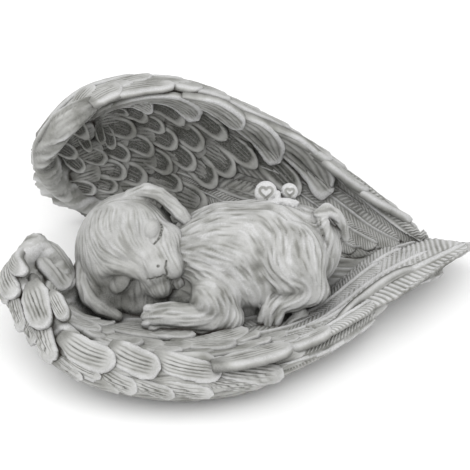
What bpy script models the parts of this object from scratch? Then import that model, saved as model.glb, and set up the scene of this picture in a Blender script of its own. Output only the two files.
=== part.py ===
# A puppy asleep in a pair of cupped angel wings, with a butterfly on its rump: one small cast ornament.
# The casting is drawn for a length of 200 units along X. The viewer stands at -Y, and Z is up.
import math

import bmesh
import bpy
import numpy as np

# Sizes in metres. The whole figure, its pose and its carving follow the casting's length.
CASTING_LENGTH = 0.200
UNIT = CASTING_LENGTH / 200.0
FEATHER_THICKNESS = 0.0026
RIM_RADIUS = 0.0022
REMESH_SIZE = 0.00115
MOST_TRIANGLES = 9400
# Moves the drawn figure so that the middle of its outline in plan is the origin.
STAND_AT = (-1.9, 3.7, 0.0)
STONE_GREY = (0.47, 0.47, 0.45, 1.0)

# Wing faces as nets of points in units. Columns run from the wrist at the left to the tip at the
# right, and each column runs from the rim down to the bed or, outside, to the floor.
FAR_INSIDE = (
    ((-74, 34, 67), (-82, 38, 53), (-83, 45, 37), (-77, 51, 21), (-60, 54, 7)),
    ((-55, 39, 79), (-57, 56, 64), (-56, 61, 46), (-53, 59, 26), (-45, 48, 7)),
    ((-28, 44, 81), (-28, 58, 67), (-27, 61, 48), (-26, 55, 27), (-24, 36, 8)),
    ((0, 48, 66), (0, 56, 53), (0, 55, 38), (0, 46, 21), (0, 26, 7)),
    ((32, 48, 44), (33, 50, 35), (33, 47, 26), (34, 38, 15), (34, 20, 7)),
    ((58, 43, 23), (59, 42, 18), (60, 38, 13), (60, 32, 9), (60, 22, 7)),
    ((83, 29, 11), (84, 28, 10), (84, 27, 8), (83, 26, 7), (81, 25, 7)),
)
FAR_OUTSIDE = (
    ((-74, 34, 67), (-87, 44, 52), (-89, 50, 34), (-86, 55, 14), (-64, 58, -2)),
    ((-55, 39, 79), (-65, 52, 71), (-64, 64, 47), (-60, 64, 20), (-47, 58, -2)),
    ((-28, 44, 81), (-31, 55, 75), (-30, 65, 54), (-28, 65, 26), (-24, 55, -2)),
    ((0, 48, 66), (1, 55, 61), (1, 62, 44), (1, 60, 21), (0, 47, -2)),
    ((32, 48, 44), (33, 54, 40), (34, 58, 28), (34, 54, 13), (33, 40, -2)),
    ((58, 43, 23), (60, 46, 20), (60, 48, 14), (60, 44, 7), (58, 33, 1)),
    ((83, 29, 11), (84, 30, 9), (84, 30, 7), (83, 28, 4), (81, 25, 3)),
)
NEAR_INSIDE = (
    ((-83, -6, 36), (-76, -8, 28), (-70, -9, 19), (-64, -8, 11), (-58, -5, 6)),
    ((-90, -24, 35), (-82, -25, 27), (-75, -25, 19), (-66, -23, 11), (-56, -18, 6)),
    ((-77, -42, 30), (-71, -38, 22), (-64, -34, 15), (-55, -29, 10), (-48, -20, 6)),
    ((-56, -61, 25), (-53, -50, 18), (-50, -40, 13), (-45, -30, 9), (-40, -12, 6)),
    ((-28, -67, 22), (-28, -57, 17), (-27, -46, 13), (-25, -33, 9), (-22, -10, 6)),
    ((4, -62, 20), (4, -53, 16), (4, -43, 12), (4, -30, 9), (4, -8, 6)),
    ((34, -45, 16), (34, -38, 13), (34, -28, 10), (34, -17, 8), (34, 0, 6)),
    ((66, -11, 15), (66, -5, 14), (66, 4, 12), (66, 15, 10), (64, 26, 8)),
    ((103, 18, 16), (103, 20, 16), (102, 22, 15), (100, 24, 14), (96, 26, 12)),
)
NEAR_OUTSIDE = (
    ((-83, -6, 36), (-88, -2, 26), (-80, 0, 13), (-66, -2, -2)),
    ((-90, -24, 35), (-96, -24, 27), (-89, -23, 13), (-72, -19, -2)),
    ((-77, -42, 30), (-87, -45, 23), (-80, -41, 11), (-64, -32, -2)),
    ((-56, -61, 25), (-62, -67, 17), (-57, -60, 8), (-46, -46, -2)),
    ((-28, -67, 22), (-29, -73, 14), (-29, -69, 7), (-26, -54, -2)),
    ((4, -62, 20), (5, -68, 14), (5, -63, 6), (4, -49, -2)),
    ((34, -45, 16), (36, -47, 12), (34, -38, 6), (27, -28, -2)),
    ((66, -11, 15), (67, -12, 12), (65, -7, 8), (58, 0, 2)),
    ((103, 18, 16), (103, 19, 13), (101, 21, 11), (96, 23, 9)),
)

# Rows of feathers on a wing face: first and last column, first and last row at the root, how many,
# length and width at the two ends in units, turn in degrees from the run of the wing towards the
# bed, and how far the free end stands off the face.
FAR_INSIDE_ROWS = (
    (1.9, 4.4, 3.75, 3.65, 4, 70, 60, 14, 13, 2, 2.6),
    (1.7, 4.3, 3.10, 3.00, 4, 74, 62, 14, 13, 0, 2.8),
    (1.8, 4.2, 2.45, 2.35, 4, 76, 62, 14, 13, -2, 3.0),
    (1.9, 4.1, 1.80, 1.70, 4, 76, 62, 14, 13, -3, 3.2),
    (2.1, 4.2, 1.15, 1.05, 4, 70, 58, 14, 13, -3, 3.4),
    (0.40, 1.75, 3.35, 3.30, 5, 14, 17, 11, 12, 8, 3.6),
    (0.30, 1.95, 2.80, 2.70, 5, 15, 19, 11, 13, 8, 3.8),
    (0.40, 2.20, 2.20, 2.05, 6, 16, 21, 11, 13, 8, 4.0),
    (0.35, 2.50, 1.60, 1.45, 6, 17, 23, 11, 13, 8, 4.2),
    (0.55, 2.85, 1.00, 0.80, 6, 19, 28, 11, 13, 8, 4.4),
    (0.55, 3.45, 0.30, 0.25, 5, 38, 44, 13, 14, 8, 5.4),
)
FAR_OUTSIDE_ROWS = (
    (1.2, 4.6, 3.00, 2.80, 5, 52, 48, 16, 15, 0, 2.0),
    (0.6, 4.4, 2.10, 1.90, 5, 50, 48, 16, 15, -3, 2.2),
    (0.1, 4.2, 1.20, 1.00, 6, 46, 46, 16, 14, -6, 2.4),
    (0.2, 4.5, 0.40, 0.25, 7, 34, 42, 14, 13, -10, 2.6),
)
NEAR_INSIDE_ROWS = (
    (4.3, 6.4, 3.60, 3.40, 3, 62, 52, 13, 14, 4, 2.2),
    (4.1, 6.2, 2.80, 2.60, 3, 66, 56, 13, 14, 2, 2.4),
    (3.9, 6.0, 2.00, 1.80, 3, 70, 60, 13, 14, 0, 2.6),
    (0.7, 2.2, 2.70, 2.70, 3, 16, 19, 10, 10, 6, 2.4),
    (0.3, 4.7, 1.60, 1.70, 7, 20, 28, 9, 10, 4, 3.0),
    (0.7, 4.4, 0.80, 1.00, 5, 26, 32, 9, 9, 2, 3.2),
)
NEAR_OUTSIDE_ROWS = (
    (0.9, 5.6, 2.05, 2.00, 6, 32, 40, 14, 13, 0, 2.4),
    (0.3, 5.8, 1.25, 1.20, 6, 36, 44, 15, 14, -3, 3.2),
    (0.1, 6.3, 0.40, 0.30, 6, 36, 54, 16, 14, -5, 3.8),
)
# Long flight feathers that end the near wing: column, row at the root, length, width, turn.
NEAR_TIPS = ((5.2, 0.4, 54, 13, 2), (6.1, 1.6, 68, 15, -6), (5.7, 1.1, 58, 13, -2))

# The puppy in units. The head has its own frame: side runs to the upper ear, ahead to the nose.
HEAD_CENTRE = (-45.0, 4.0, 26.5)
HEAD_SIDE = (0.464, 0.469, 0.752)
HEAD_AHEAD = (0.360, -0.878, 0.306)
HEAD_UP = (-0.803, -0.129, 0.576)
# Across, up and towards someone who looks down on it by 38 degrees
SEEN_AXES = np.array(((1.0, 0.0, 0.0), (0.0, 0.6157, 0.788), (0.0, -0.788, 0.6157)))


def spline_weights(t, count):
    """Catmull-Rom weights of each of count points, running straight on past either end."""
    t = np.asarray(t, float)
    weights = np.zeros((len(t), count))
    inner = np.clip(t, 0, count - 1)
    first = np.minimum(inner.astype(int), count - 2)
    f = inner - first
    basis = (
        (-f + 2 * f**2 - f**3) / 2,
        (2 - 5 * f**2 + 3 * f**3) / 2,
        (f + 4 * f**2 - 3 * f**3) / 2,
        (-(f**2) + f**3) / 2,
    )
    rows = np.arange(len(t))
    for step, value in enumerate(basis):
        index = first + step - 1
        before, after = index < 0, index > count - 1
        inside = ~(before | after)
        np.add.at(weights, (rows[inside], index[inside]), value[inside])
        np.add.at(weights, (rows[before], 0), 2 * value[before])
        np.add.at(weights, (rows[before], 1), -value[before])
        np.add.at(weights, (rows[after], count - 1), 2 * value[after])
        np.add.at(weights, (rows[after], count - 2), -value[after])
    past = t - inner
    low, high = past < 0, past > 0
    weights[low, 0] -= past[low]
    weights[low, 1] += past[low]
    weights[high, count - 1] += past[high]
    weights[high, count - 2] -= past[high]
    return weights


def on_net(net, column, row):
    net = np.array(net, float)
    across = spline_weights(column, net.shape[0])
    down = spline_weights(row, net.shape[1])
    return np.einsum("nc,nr,crk->nk", across, down, net)


def on_face(net, column, row, lift, side):
    """Points on a wing face, raised by lift along its normal. side is 1 or -1."""
    step = 0.02
    along = on_net(net, column + step, row) - on_net(net, column - step, row)
    down = on_net(net, column, row + step) - on_net(net, column, row - step)
    normal = np.cross(along, down) * side
    normal /= np.linalg.norm(normal, axis=1)[:, None]
    return on_net(net, column, row) + normal * np.asarray(lift)[:, None]


def add_closed(parts, points, faces):
    parts.append((np.asarray(points, float), [tuple(face) for face in faces]))


def grid_faces(rows, columns, wrap):
    faces = []
    for i in range(rows - 1):
        for j in range(columns if wrap else columns - 1):
            k = (j + 1) % columns
            faces.append((i * columns + j, i * columns + k, (i + 1) * columns + k, (i + 1) * columns + j))
    return faces


def add_wing(parts, inside, outside):
    """The wing's body between its two faces, which share the rim."""
    steps_along, steps_in, steps_out = 6 * (len(inside) - 1) + 1, 17, 15
    columns = np.linspace(0, len(inside) - 1, steps_along)
    rings = []
    for column in columns:
        rows_in = np.linspace(len(inside[0]) - 1, 0, steps_in)
        rows_out = np.linspace(0, len(outside[0]) - 1, steps_out)[1:]
        a = on_net(inside, np.full(len(rows_in), column), rows_in)
        b = on_net(outside, np.full(len(rows_out), column), rows_out)
        foot = np.array([[a[0, 0], a[0, 1], min(a[0, 2] - 1.0, b[-1, 2])]])
        rings.append(np.concatenate([a, b, foot]))
    size = len(rings[0])
    points = np.concatenate(rings + [rings[0].mean(0)[None], rings[-1].mean(0)[None]])
    faces = grid_faces(len(rings), size, True)
    first_cap, last_cap, last = len(points) - 2, len(points) - 1, (len(rings) - 1) * size
    for j in range(size):
        k = (j + 1) % size
        faces.append((first_cap, k, j))
        faces.append((last_cap, last + j, last + k))
    add_closed(parts, points, faces)


def add_tube(parts, path, radii, sides=8):
    """A round-ended tube through the path."""
    path = np.array(path, float)
    radii = np.array(radii, float)
    ahead = np.gradient(path, axis=0)
    ahead /= np.linalg.norm(ahead, axis=1)[:, None]
    path = np.concatenate([[path[0] - ahead[0] * radii[0] * 0.8], path, [path[-1] + ahead[-1] * radii[-1] * 0.8]])
    radii = np.concatenate([[radii[0] * 0.45], radii, [radii[-1] * 0.45]])
    ahead = np.concatenate([[ahead[0]], ahead, [ahead[-1]]])
    side = np.cross(ahead, (0.31, 0.22, 0.93))
    side /= np.linalg.norm(side, axis=1)[:, None]
    up = np.cross(side, ahead)
    turn = np.arange(sides) * 2 * math.pi / sides
    points = []
    for p, r, s, u in zip(path, radii, side, up):
        points.extend(p + r * (math.cos(a) * s + math.sin(a) * u) for a in turn)
    faces = grid_faces(len(path), sides, True)
    faces.append(tuple(range(sides))[::-1])
    faces.append(tuple((len(path) - 1) * sides + k for k in range(sides)))
    add_closed(parts, points, faces)


def feather_width(s):
    """Half width at s from root to free end, as a share: parallel sides and a rounded end."""
    rise = min(1.0, 0.55 + 1.6 * s)
    return rise * math.sqrt(max(0.0, 1 - max(0.0, (s - 0.62) / 0.38) ** 2.2))


def add_feather(parts, net, side, column, row, length, width, turn, stand_off):
    """A blade that follows the wing face. It has a raised shaft, and its free end stands off."""
    here = on_net(net, [column, column + 0.05, column], [row, row, row + 0.05])
    along, down = (here[1] - here[0]) / 0.05, (here[2] - here[0]) / 0.05
    gauge_along, gauge_down = np.linalg.norm(along), np.linalg.norm(down)
    if gauge_along < 6 or gauge_down < 1.5:
        gauge_along, gauge_down = max(gauge_along, 6), max(gauge_down, 1.5)
    angle = math.radians(turn)
    stations = (0.0, 0.2, 0.42, 0.62, 0.8, 0.92, 1.0)
    across = (-1.0, -0.5, 0.0, 0.5, 1.0)
    thick = FEATHER_THICKNESS / UNIT
    columns, rows, lifts = [], [], []
    for layer in (1, 0):
        for s in stations:
            half = max(0.12, feather_width(s)) * width / 2
            for q in across:
                forward = s * length
                sideways = q * half
                columns.append(column + (forward * math.cos(angle) - sideways * math.sin(angle)) / gauge_along)
                rows.append(row + (forward * math.sin(angle) + sideways * math.cos(angle)) / gauge_down)
                top = stand_off * (0.25 + 0.75 * s) + thick * (0.35 - 0.35 * q * q)
                lifts.append(top if layer else -1.6 + max(0.0, stand_off * s - thick - 0.4))
    points = on_face(net, np.array(columns), np.array(rows), np.array(lifts), side)
    rows_count, cols = len(stations), len(across)
    per_layer = rows_count * cols
    faces = []
    for i in range(rows_count - 1):
        for j in range(cols - 1):
            a, b = i * cols + j, i * cols + j + 1
            c, d = b + cols, a + cols
            faces.append((a, b, c, d))
            faces.append((per_layer + a, per_layer + d, per_layer + c, per_layer + b))
    edge = [j for j in range(cols)]
    edge += [i * cols + cols - 1 for i in range(1, rows_count)]
    edge += [(rows_count - 1) * cols + j for j in range(cols - 2, -1, -1)]
    edge += [i * cols for i in range(rows_count - 2, 0, -1)]
    for a, b in zip(edge, edge[1:] + edge[:1]):
        faces.append((b, a, per_layer + a, per_layer + b))
    add_closed(parts, points, faces)


def add_rows(parts, net, side, table):
    rng = np.random.default_rng(7)
    for c0, c1, r0, r1, count, l0, l1, w0, w1, turn, off in table:
        for k in range(count):
            f = (k + 0.5 * rng.uniform(-0.25, 0.25)) / max(1, count - 1)
            add_feather(
                parts, net, side,
                c0 + (c1 - c0) * f, r0 + (r1 - r0) * f + rng.uniform(-0.05, 0.05),
                (l0 + (l1 - l0) * f) * rng.uniform(0.94, 1.06), w0 + (w1 - w0) * f,
                turn + rng.uniform(-3, 3), off,
            )


def head_point(side, ahead, up):
    frame = np.array((HEAD_SIDE, HEAD_AHEAD, HEAD_UP))
    return np.array(HEAD_CENTRE) + np.array((side, ahead, up), float) @ frame


def seen(across, up, near):
    """A place given as someone a metre away sees it from 38 degrees above, in units."""
    k = 1 - near / 1000
    return np.array((across * k, 27.95 + (up - 27.95) * k, near)) @ SEEN_AXES


def puppy_shapes():
    """The masses of the body and of the head, as (kind, values, blend). A negative blend carves."""
    head = np.array((HEAD_SIDE, HEAD_AHEAD, HEAD_UP))
    level = np.eye(3)
    shapes = []

    def ball(centre, radii, blend, axes=level):
        shapes.append(("ball", (np.array(centre, float), np.array(radii, float), axes), blend))

    def limb(a, b, ra, rb, blend):
        shapes.append(("limb", (np.array(a, float), np.array(b, float), ra, rb), blend))

    def chain(path, radii, blend):
        for a, b, ra, rb in zip(path, path[1:], radii, radii[1:]):
            limb(seen(*a), seen(*b), ra, rb, blend)

    limb((-24, 1, 23), (-4, -1, 27), 14.5, 20, 4)
    limb((-4, -1, 27), (14, 1, 28.5), 20, 19.5, 5)
    limb((14, 1, 28.5), (27, 3, 26.5), 19.5, 18, 5)
    ball((8, -11, 20), (17, 13, 14), 5)
    ball((-6, -15, 20), (13, 12, 14), 3)
    ball(seen(24.1, 17.6, 28.5), (14.8, 16.5, 13), 0.8, SEEN_AXES)
    limb(seen(-9.9, 0.0, 32), seen(-2.6, -7.7, 31), 9.0, 6.3, 2.5)
    forearm = ((-2.6, -8.0, 31), (-15.0, -8.4, 32.5), (-27.1, -7.0, 33), (-33.1, -7.2, 32.5))
    chain(forearm, (6.3, 6.0, 5.6, 5.4), 1.0)
    for place in ((-36.6, -4.2, 33.5), (-37.8, -7.0, 33.8), (-37.2, -9.8, 33.5), (-34.6, -12.0, 33.5)):
        ball(seen(*place), (2.9, 2.2, 2.6), 0.5, SEEN_AXES)
    chain(
        [(31.5, 12.5, 31), (34.6, 3.6, 28), (25.8, -0.2, 28.5), (16.4, -2.2, 28.5)],
        (7.0, 5.6, 4.6, 4.4), 1.2,
    )
    chain([(13.3, -3.6, 30), (10.9, -8.8, 29)], (2.3, 1.9), 0.5)
    chain([(15.9, -3.8, 30.5), (14.4, -10.4, 29.5)], (2.3, 1.9), 0.5)
    chain([(19.3, -4.4, 30), (18.3, -9.8, 29)], (2.3, 1.9), 0.5)
    chain([(23.2, -10.4, 27), (28.8, -6.0, 26)], (2.0, 2.7), 0.5)
    chain([(39.1, 21.1, 26), (40.0, 26.7, 26.5), (37.8, 32.7, 26.5)], (1.8, 2.5, 2.8), 0.6)
    chain([(37.8, 32.7, 26.5), (36.6, 36.3, 25.5), (39.4, 38.6, 24)], (2.8, 2.8, 2.7), 0.6)
    chain([(39.4, 38.6, 24), (43.0, 36.8, 22), (46.0, 32.6, 19), (47.0, 26.7, 15)], (2.7, 2.5, 2.3, 2.0), 0.6)
    ball(seen(-20.0, 2.0, 19.0), (9, 8, 9), 2.0)
    ball(seen(4.0, -4.5, 19.0), (9, 6, 7), 2.0)
    body, shapes = shapes, []
    ball(head_point(-1, -1, 1), (23.5, 21, 20.5), 4, head)
    ball(head_point(-1, 13, -6), (16, 10, 10.5), 5, head)
    ball(head_point(0, 19, -6), (10.5, 8.5, 8.5), 3, head)
    ball(seen(-27.4, 15.3, 27.1), (6.4, 6.4, 6.4), 2.0)
    ball(seen(-32.4, 5.8, 25.0), (5.4, 5.4, 5.4), 1.2)
    ball(seen(-34.4, 13.6, 32.2), (4.8, 4.6, 4.6), 1.6, SEEN_AXES)
    ball(seen(-24.3, 7.6, 24.0), (3.6, 3.6, 3.6), 0.8)
    ball(seen(-29.2, 24.5, 23.4), (8.2, 8.2, 8.2), 3.0)
    ball(seen(-36.1, 29.9, 35.8), (6.6, 6.6, 6.6), -2.5)
    ball(seen(-49.5, 6.6, 35.0), (9.2, 9.2, 9.2), -3.5)
    chain(
        [(-57.5, 12.6, 26.6), (-51.0, 14.4, 29.3), (-45.0, 13.4, 29.4), (-39.5, 10.8, 31.1)],
        (2.6, 3.2, 3.0, 2.4), 2.0,
    )
    ball(seen(-35.9, 30.0, 28.2), (3.5, 4.8, 3.4), 0.8, SEEN_AXES)
    ball(seen(-47.2, 7.4, 26.1), (4.0, 4.2, 3.6), 0.8, SEEN_AXES)
    chain(
        [(-50.5, 38.5, 18), (-45.0, 44.4, 18.5), (-38.0, 47.0, 20), (-32.2, 45.4, 21.5)],
        (2.6, 3.0, 3.1, 3.0), 0.8,
    )
    chain(
        [(-32.2, 45.4, 21.5), (-27.5, 41.3, 22.5), (-23.6, 37.0, 23), (-20.0, 33.4, 22.5)],
        (3.0, 3.0, 3.0, 2.6), 0.8,
    )
    chain([(-46, 42.0, 12), (-38, 44.0, 12), (-28, 40.0, 15)], (4.0, 4.2, 3.6), 1.5)
    chain([(-64.1, 21.5, 15), (-66.2, 14.2, 18), (-65.8, 6.9, 20.5)], (2.2, 2.8, 3.1), 1.2)
    chain(
        [(-65.8, 6.9, 20.5), (-62.8, 0.9, 22.5), (-57.6, -3.4, 24), (-50.7, -6.9, 24)],
        (3.1, 3.2, 3.0, 2.4), 1.2,
    )
    ball(seen(-54.0, 1.0, 17.5), (7.5, 7.0, 7.0), 1.5)
    ball((-58, -6, 14), (8, 9, 8), 2.0)
    ball((-38, -10, 10), (15, 10, 7), 3.0)
    return body, shapes


def shape_distance(points, shape):
    kind, values, _ = shape
    if kind == "ball":
        centre, radii, axes = values
        p = (points - centre) @ axes.T
        k0 = np.linalg.norm(p / radii, axis=1)
        k1 = np.maximum(np.linalg.norm(p / radii**2, axis=1), 1e-9)
        return k0 * (k0 - 1) / k1
    a, b, ra, rb = values
    line = b - a
    h = np.clip((points - a) @ line / (line @ line), 0, 1)
    return np.linalg.norm(points - a - h[:, None] * line, axis=1) - (ra + (rb - ra) * h)


def puppy_distance(points, shapes):
    """Signed distance to the blended masses."""
    total = np.full(len(points), 1e3)
    for shape in shapes:
        d, k = shape_distance(points, shape), shape[2]
        if k < 0:
            h = np.clip(0.5 + 0.5 * (total + d) / k, 0, 1)
            total = total - (d + total) * h - k * h * (1 - h)
            continue
        h = np.clip(0.5 + 0.5 * (total - d) / k, 0, 1)
        total = total + (d - total) * h - k * h * (1 - h)
    return total


def object_from(name, points, faces):
    mesh = bpy.data.meshes.new(name)
    mesh.from_pydata([tuple(p) for p in points], [], faces)
    mesh.update()
    obj = bpy.data.objects.new(name, mesh)
    bpy.context.scene.collection.objects.link(obj)
    return obj


def joined(name, parts, scale, at=(0, 0, 0)):
    points, faces, start = [], [], 0
    for p, f in parts:
        points.append((p + at) * scale)
        faces.extend(tuple(i + start for i in face) for face in f)
        start += len(p)
    return object_from(name, np.concatenate(points), faces)


def remeshed(obj, size):
    modifier = obj.modifiers.new("voxels", "REMESH")
    modifier.mode = "VOXEL"
    modifier.voxel_size = size
    modifier.adaptivity = 0.0
    graph = bpy.context.evaluated_depsgraph_get()
    mesh = bpy.data.meshes.new_from_object(obj.evaluated_get(graph))
    obj.modifiers.clear()
    obj.data = mesh
    return obj


def mesh_arrays(mesh):
    points = np.empty(len(mesh.vertices) * 3)
    mesh.vertices.foreach_get("co", points)
    return points.reshape(-1, 3)


def add_puppy(parts, shapes):
    """Masses turned to one closed skin, whose points are then moved on to the blended surface."""
    rough = []
    for kind, values, blend in shapes:
        if blend < 0:
            continue
        if kind == "ball":
            centre, radii, axes = values
            bm = bmesh.new()
            bmesh.ops.create_icosphere(bm, subdivisions=3, radius=1.0)
            points = np.array([tuple(v.co) for v in bm.verts]) * (radii + 0.3 * blend) @ axes + centre
            faces = [tuple(v.index for v in f.verts) for f in bm.faces]
            bm.free()
            add_closed(rough, points, faces)
        else:
            a, b, ra, rb = values
            ra, rb = ra + 0.3 * blend, rb + 0.3 * blend
            add_tube(rough, [a, (a + b) / 2, b], [ra, (ra + rb) / 2, rb], 16)
    skin = remeshed(joined("puppy_skin", rough, UNIT), 1.2 * UNIT)
    points = mesh_arrays(skin.data) / UNIT
    for _ in range(5):
        d = puppy_distance(points, shapes)
        slope = np.stack([
            (puppy_distance(points + step, shapes) - puppy_distance(points - step, shapes)) / 0.2
            for step in np.eye(3) * 0.1
        ], axis=1)
        size = np.maximum((slope**2).sum(1), 0.25)
        points -= np.clip(d / size, -1.2, 1.2)[:, None] * slope
    add_closed(parts, points, [tuple(f.vertices) for f in skin.data.polygons])
    bpy.data.objects.remove(skin)


def add_butterfly(parts):
    """Two raised lobes over a short plate, on the rump."""
    for place, radii in (
        ((13.3, 46.0, 22.0), (4.8, 5.1, 2.1)), ((23.3, 46.3, 20.5), (3.6, 3.9, 2.0)),
        ((17.6, 41.0, 23.5), (7.8, 2.8, 2.8)), ((13.6, 38.6, 25.0), (4.6, 3.4, 2.4)),
        ((23.0, 40.6, 23.0), (4.6, 2.2, 2.2)),
    ):
        bm = bmesh.new()
        bmesh.ops.create_icosphere(bm, subdivisions=2, radius=1.0)
        points = np.array([tuple(v.co) for v in bm.verts]) * radii @ SEEN_AXES + seen(*place)
        faces = [tuple(v.index for v in f.verts) for f in bm.faces]
        bm.free()
        add_closed(parts, points, faces)


def add_bed(parts):
    """The solid ground that joins both wings under the puppy."""
    rings = []
    turn = np.linspace(0, 2 * math.pi, 33)[:-1]
    for z, grow in ((-2, 1.0), (3, 1.0), (6.5, 0.93), (8.0, 0.7)):
        x = 62 * grow * np.sign(np.cos(turn)) * np.abs(np.cos(turn)) ** 0.66
        y = 9 + 0.2 * x + 33 * grow * np.sign(np.sin(turn)) * np.abs(np.sin(turn)) ** 0.66
        rings.append(np.stack([x, y, np.full(len(turn), float(z))], axis=1))
    faces = grid_faces(len(rings), len(turn), True)
    faces.append(tuple(range(len(turn)))[::-1])
    faces.append(tuple(3 * len(turn) + k for k in range(len(turn))))
    add_closed(parts, np.concatenate(rings), faces)


def add_rims(parts):
    """Rounded lips along both rims. They thicken to an arm at the wrist."""
    thin = RIM_RADIUS / UNIT
    for net, arm in ((FAR_INSIDE, 6.0), (NEAR_INSIDE, 5.0)):
        columns = np.linspace(0, len(net) - 1.05, 36)
        path = on_net(net, columns, np.zeros(len(columns)))
        grow = np.exp(-(columns / 0.9) ** 2)
        tip = 1 - 0.45 * np.clip((columns - (len(net) - 3)) / 2, 0, 1)
        add_tube(parts, path, (thin + (arm - thin) * grow) * tip)
    rows = np.linspace(0, 3.9, 12)
    path = on_net(FAR_INSIDE, np.full(len(rows), 0.05), rows)
    add_tube(parts, path, np.linspace(6.0, 5.0, len(rows)))
    rows = np.linspace(0, 2.6, 10)
    path = on_net(NEAR_INSIDE, np.full(len(rows), 0.05), rows)
    add_tube(parts, path, np.linspace(5.0, 4.0, len(rows)))


def largest_shell(obj):
    """Drops every shell but the largest, so that no closed-off hollow is left inside."""
    bm = bmesh.new()
    bm.from_mesh(obj.data)
    left, shells = set(bm.verts), []
    while left:
        front, shell = [left.pop()], []
        while front:
            v = front.pop()
            shell.append(v)
            for edge in v.link_edges:
                w = edge.other_vert(v)
                if w in left:
                    left.remove(w)
                    front.append(w)
        shells.append(shell)
    shells.sort(key=len)
    for shell in shells[:-1]:
        bmesh.ops.delete(bm, geom=shell, context="VERTS")
    bm.to_mesh(obj.data)
    bm.free()


def cut_flat(obj, height):
    """Cuts the underside to one level face and closes it."""
    bm = bmesh.new()
    bm.from_mesh(obj.data)
    whole = bm.verts[:] + bm.edges[:] + bm.faces[:]
    level = (0, 0, height)
    bmesh.ops.bisect_plane(bm, geom=whole, dist=1e-6, plane_co=level, plane_no=(0, 0, 1), clear_inner=True)
    rim = [e for e in bm.edges if e.is_boundary]
    bmesh.ops.holes_fill(bm, edges=rim, sides=0)
    bmesh.ops.triangulate(bm, faces=[f for f in bm.faces if len(f.verts) > 3])
    bmesh.ops.recalc_face_normals(bm, faces=bm.faces)
    bm.to_mesh(obj.data)
    bm.free()


def thinned(obj, most):
    obj.data.calc_loop_triangles()
    modifier = obj.modifiers.new("thin", "DECIMATE")
    modifier.decimate_type = "COLLAPSE"
    modifier.ratio = most / len(obj.data.loop_triangles)
    modifier.use_collapse_triangulate = True
    graph = bpy.context.evaluated_depsgraph_get()
    mesh = bpy.data.meshes.new_from_object(obj.evaluated_get(graph))
    obj.modifiers.clear()
    obj.data = mesh


def stone():
    material = bpy.data.materials.new("grey_cast_resin")
    material.use_nodes = True
    shader = material.node_tree.nodes["Principled BSDF"]
    shader.inputs["Base Color"].default_value = STONE_GREY
    shader.inputs["Roughness"].default_value = 0.8
    return material


def main():
    for obj in list(bpy.data.objects):
        bpy.data.objects.remove(obj)
    parts = []
    add_bed(parts)
    add_wing(parts, FAR_INSIDE, FAR_OUTSIDE)
    add_wing(parts, NEAR_INSIDE, NEAR_OUTSIDE)
    add_rims(parts)
    add_rows(parts, FAR_INSIDE, -1, FAR_INSIDE_ROWS)
    add_rows(parts, FAR_OUTSIDE, 1, FAR_OUTSIDE_ROWS)
    add_rows(parts, NEAR_INSIDE, 1, NEAR_INSIDE_ROWS)
    add_rows(parts, NEAR_OUTSIDE, -1, NEAR_OUTSIDE_ROWS)
    for column, row, length, width, turn in NEAR_TIPS:
        add_feather(parts, NEAR_INSIDE, 1, column, row, length, width, turn, 1.6)
    for shapes in puppy_shapes():
        add_puppy(parts, shapes)
    add_butterfly(parts)
    casting = joined("wings_puppy_casting", parts, UNIT, np.array(STAND_AT))
    remeshed(casting, REMESH_SIZE)
    largest_shell(casting)
    thinned(casting, MOST_TRIANGLES)
    cut_flat(casting, 0.0)
    casting.data.materials.clear()
    casting.data.materials.append(stone())
    casting.data.shade_flat()


main()
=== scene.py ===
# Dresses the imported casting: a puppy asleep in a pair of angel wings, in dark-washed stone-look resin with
# painted shade in its hollows.
# Everything is drawn in millimetres, on the same nets as the CAD solid, and scaled once at the end.
import math

import bmesh
import bpy
import numpy as np
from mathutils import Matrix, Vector, kdtree, noise


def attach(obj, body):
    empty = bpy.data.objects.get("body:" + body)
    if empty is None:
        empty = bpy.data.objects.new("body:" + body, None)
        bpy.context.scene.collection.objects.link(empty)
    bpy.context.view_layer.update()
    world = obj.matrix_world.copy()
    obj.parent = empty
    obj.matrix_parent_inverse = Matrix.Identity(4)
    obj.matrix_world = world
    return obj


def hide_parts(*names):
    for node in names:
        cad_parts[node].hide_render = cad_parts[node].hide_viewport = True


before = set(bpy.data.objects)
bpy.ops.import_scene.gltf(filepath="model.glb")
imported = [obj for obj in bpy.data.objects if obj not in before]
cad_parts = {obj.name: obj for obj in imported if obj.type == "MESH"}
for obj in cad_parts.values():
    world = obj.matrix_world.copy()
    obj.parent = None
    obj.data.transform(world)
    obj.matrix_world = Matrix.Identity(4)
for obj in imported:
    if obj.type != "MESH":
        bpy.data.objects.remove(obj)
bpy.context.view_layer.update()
castingNode = "wings_puppy_casting"
mm = 0.001
standAt = np.array((-1.9, 3.7, 0.0))  # the drawn figure's middle to the frame's origin
print("frame loaded")

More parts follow.
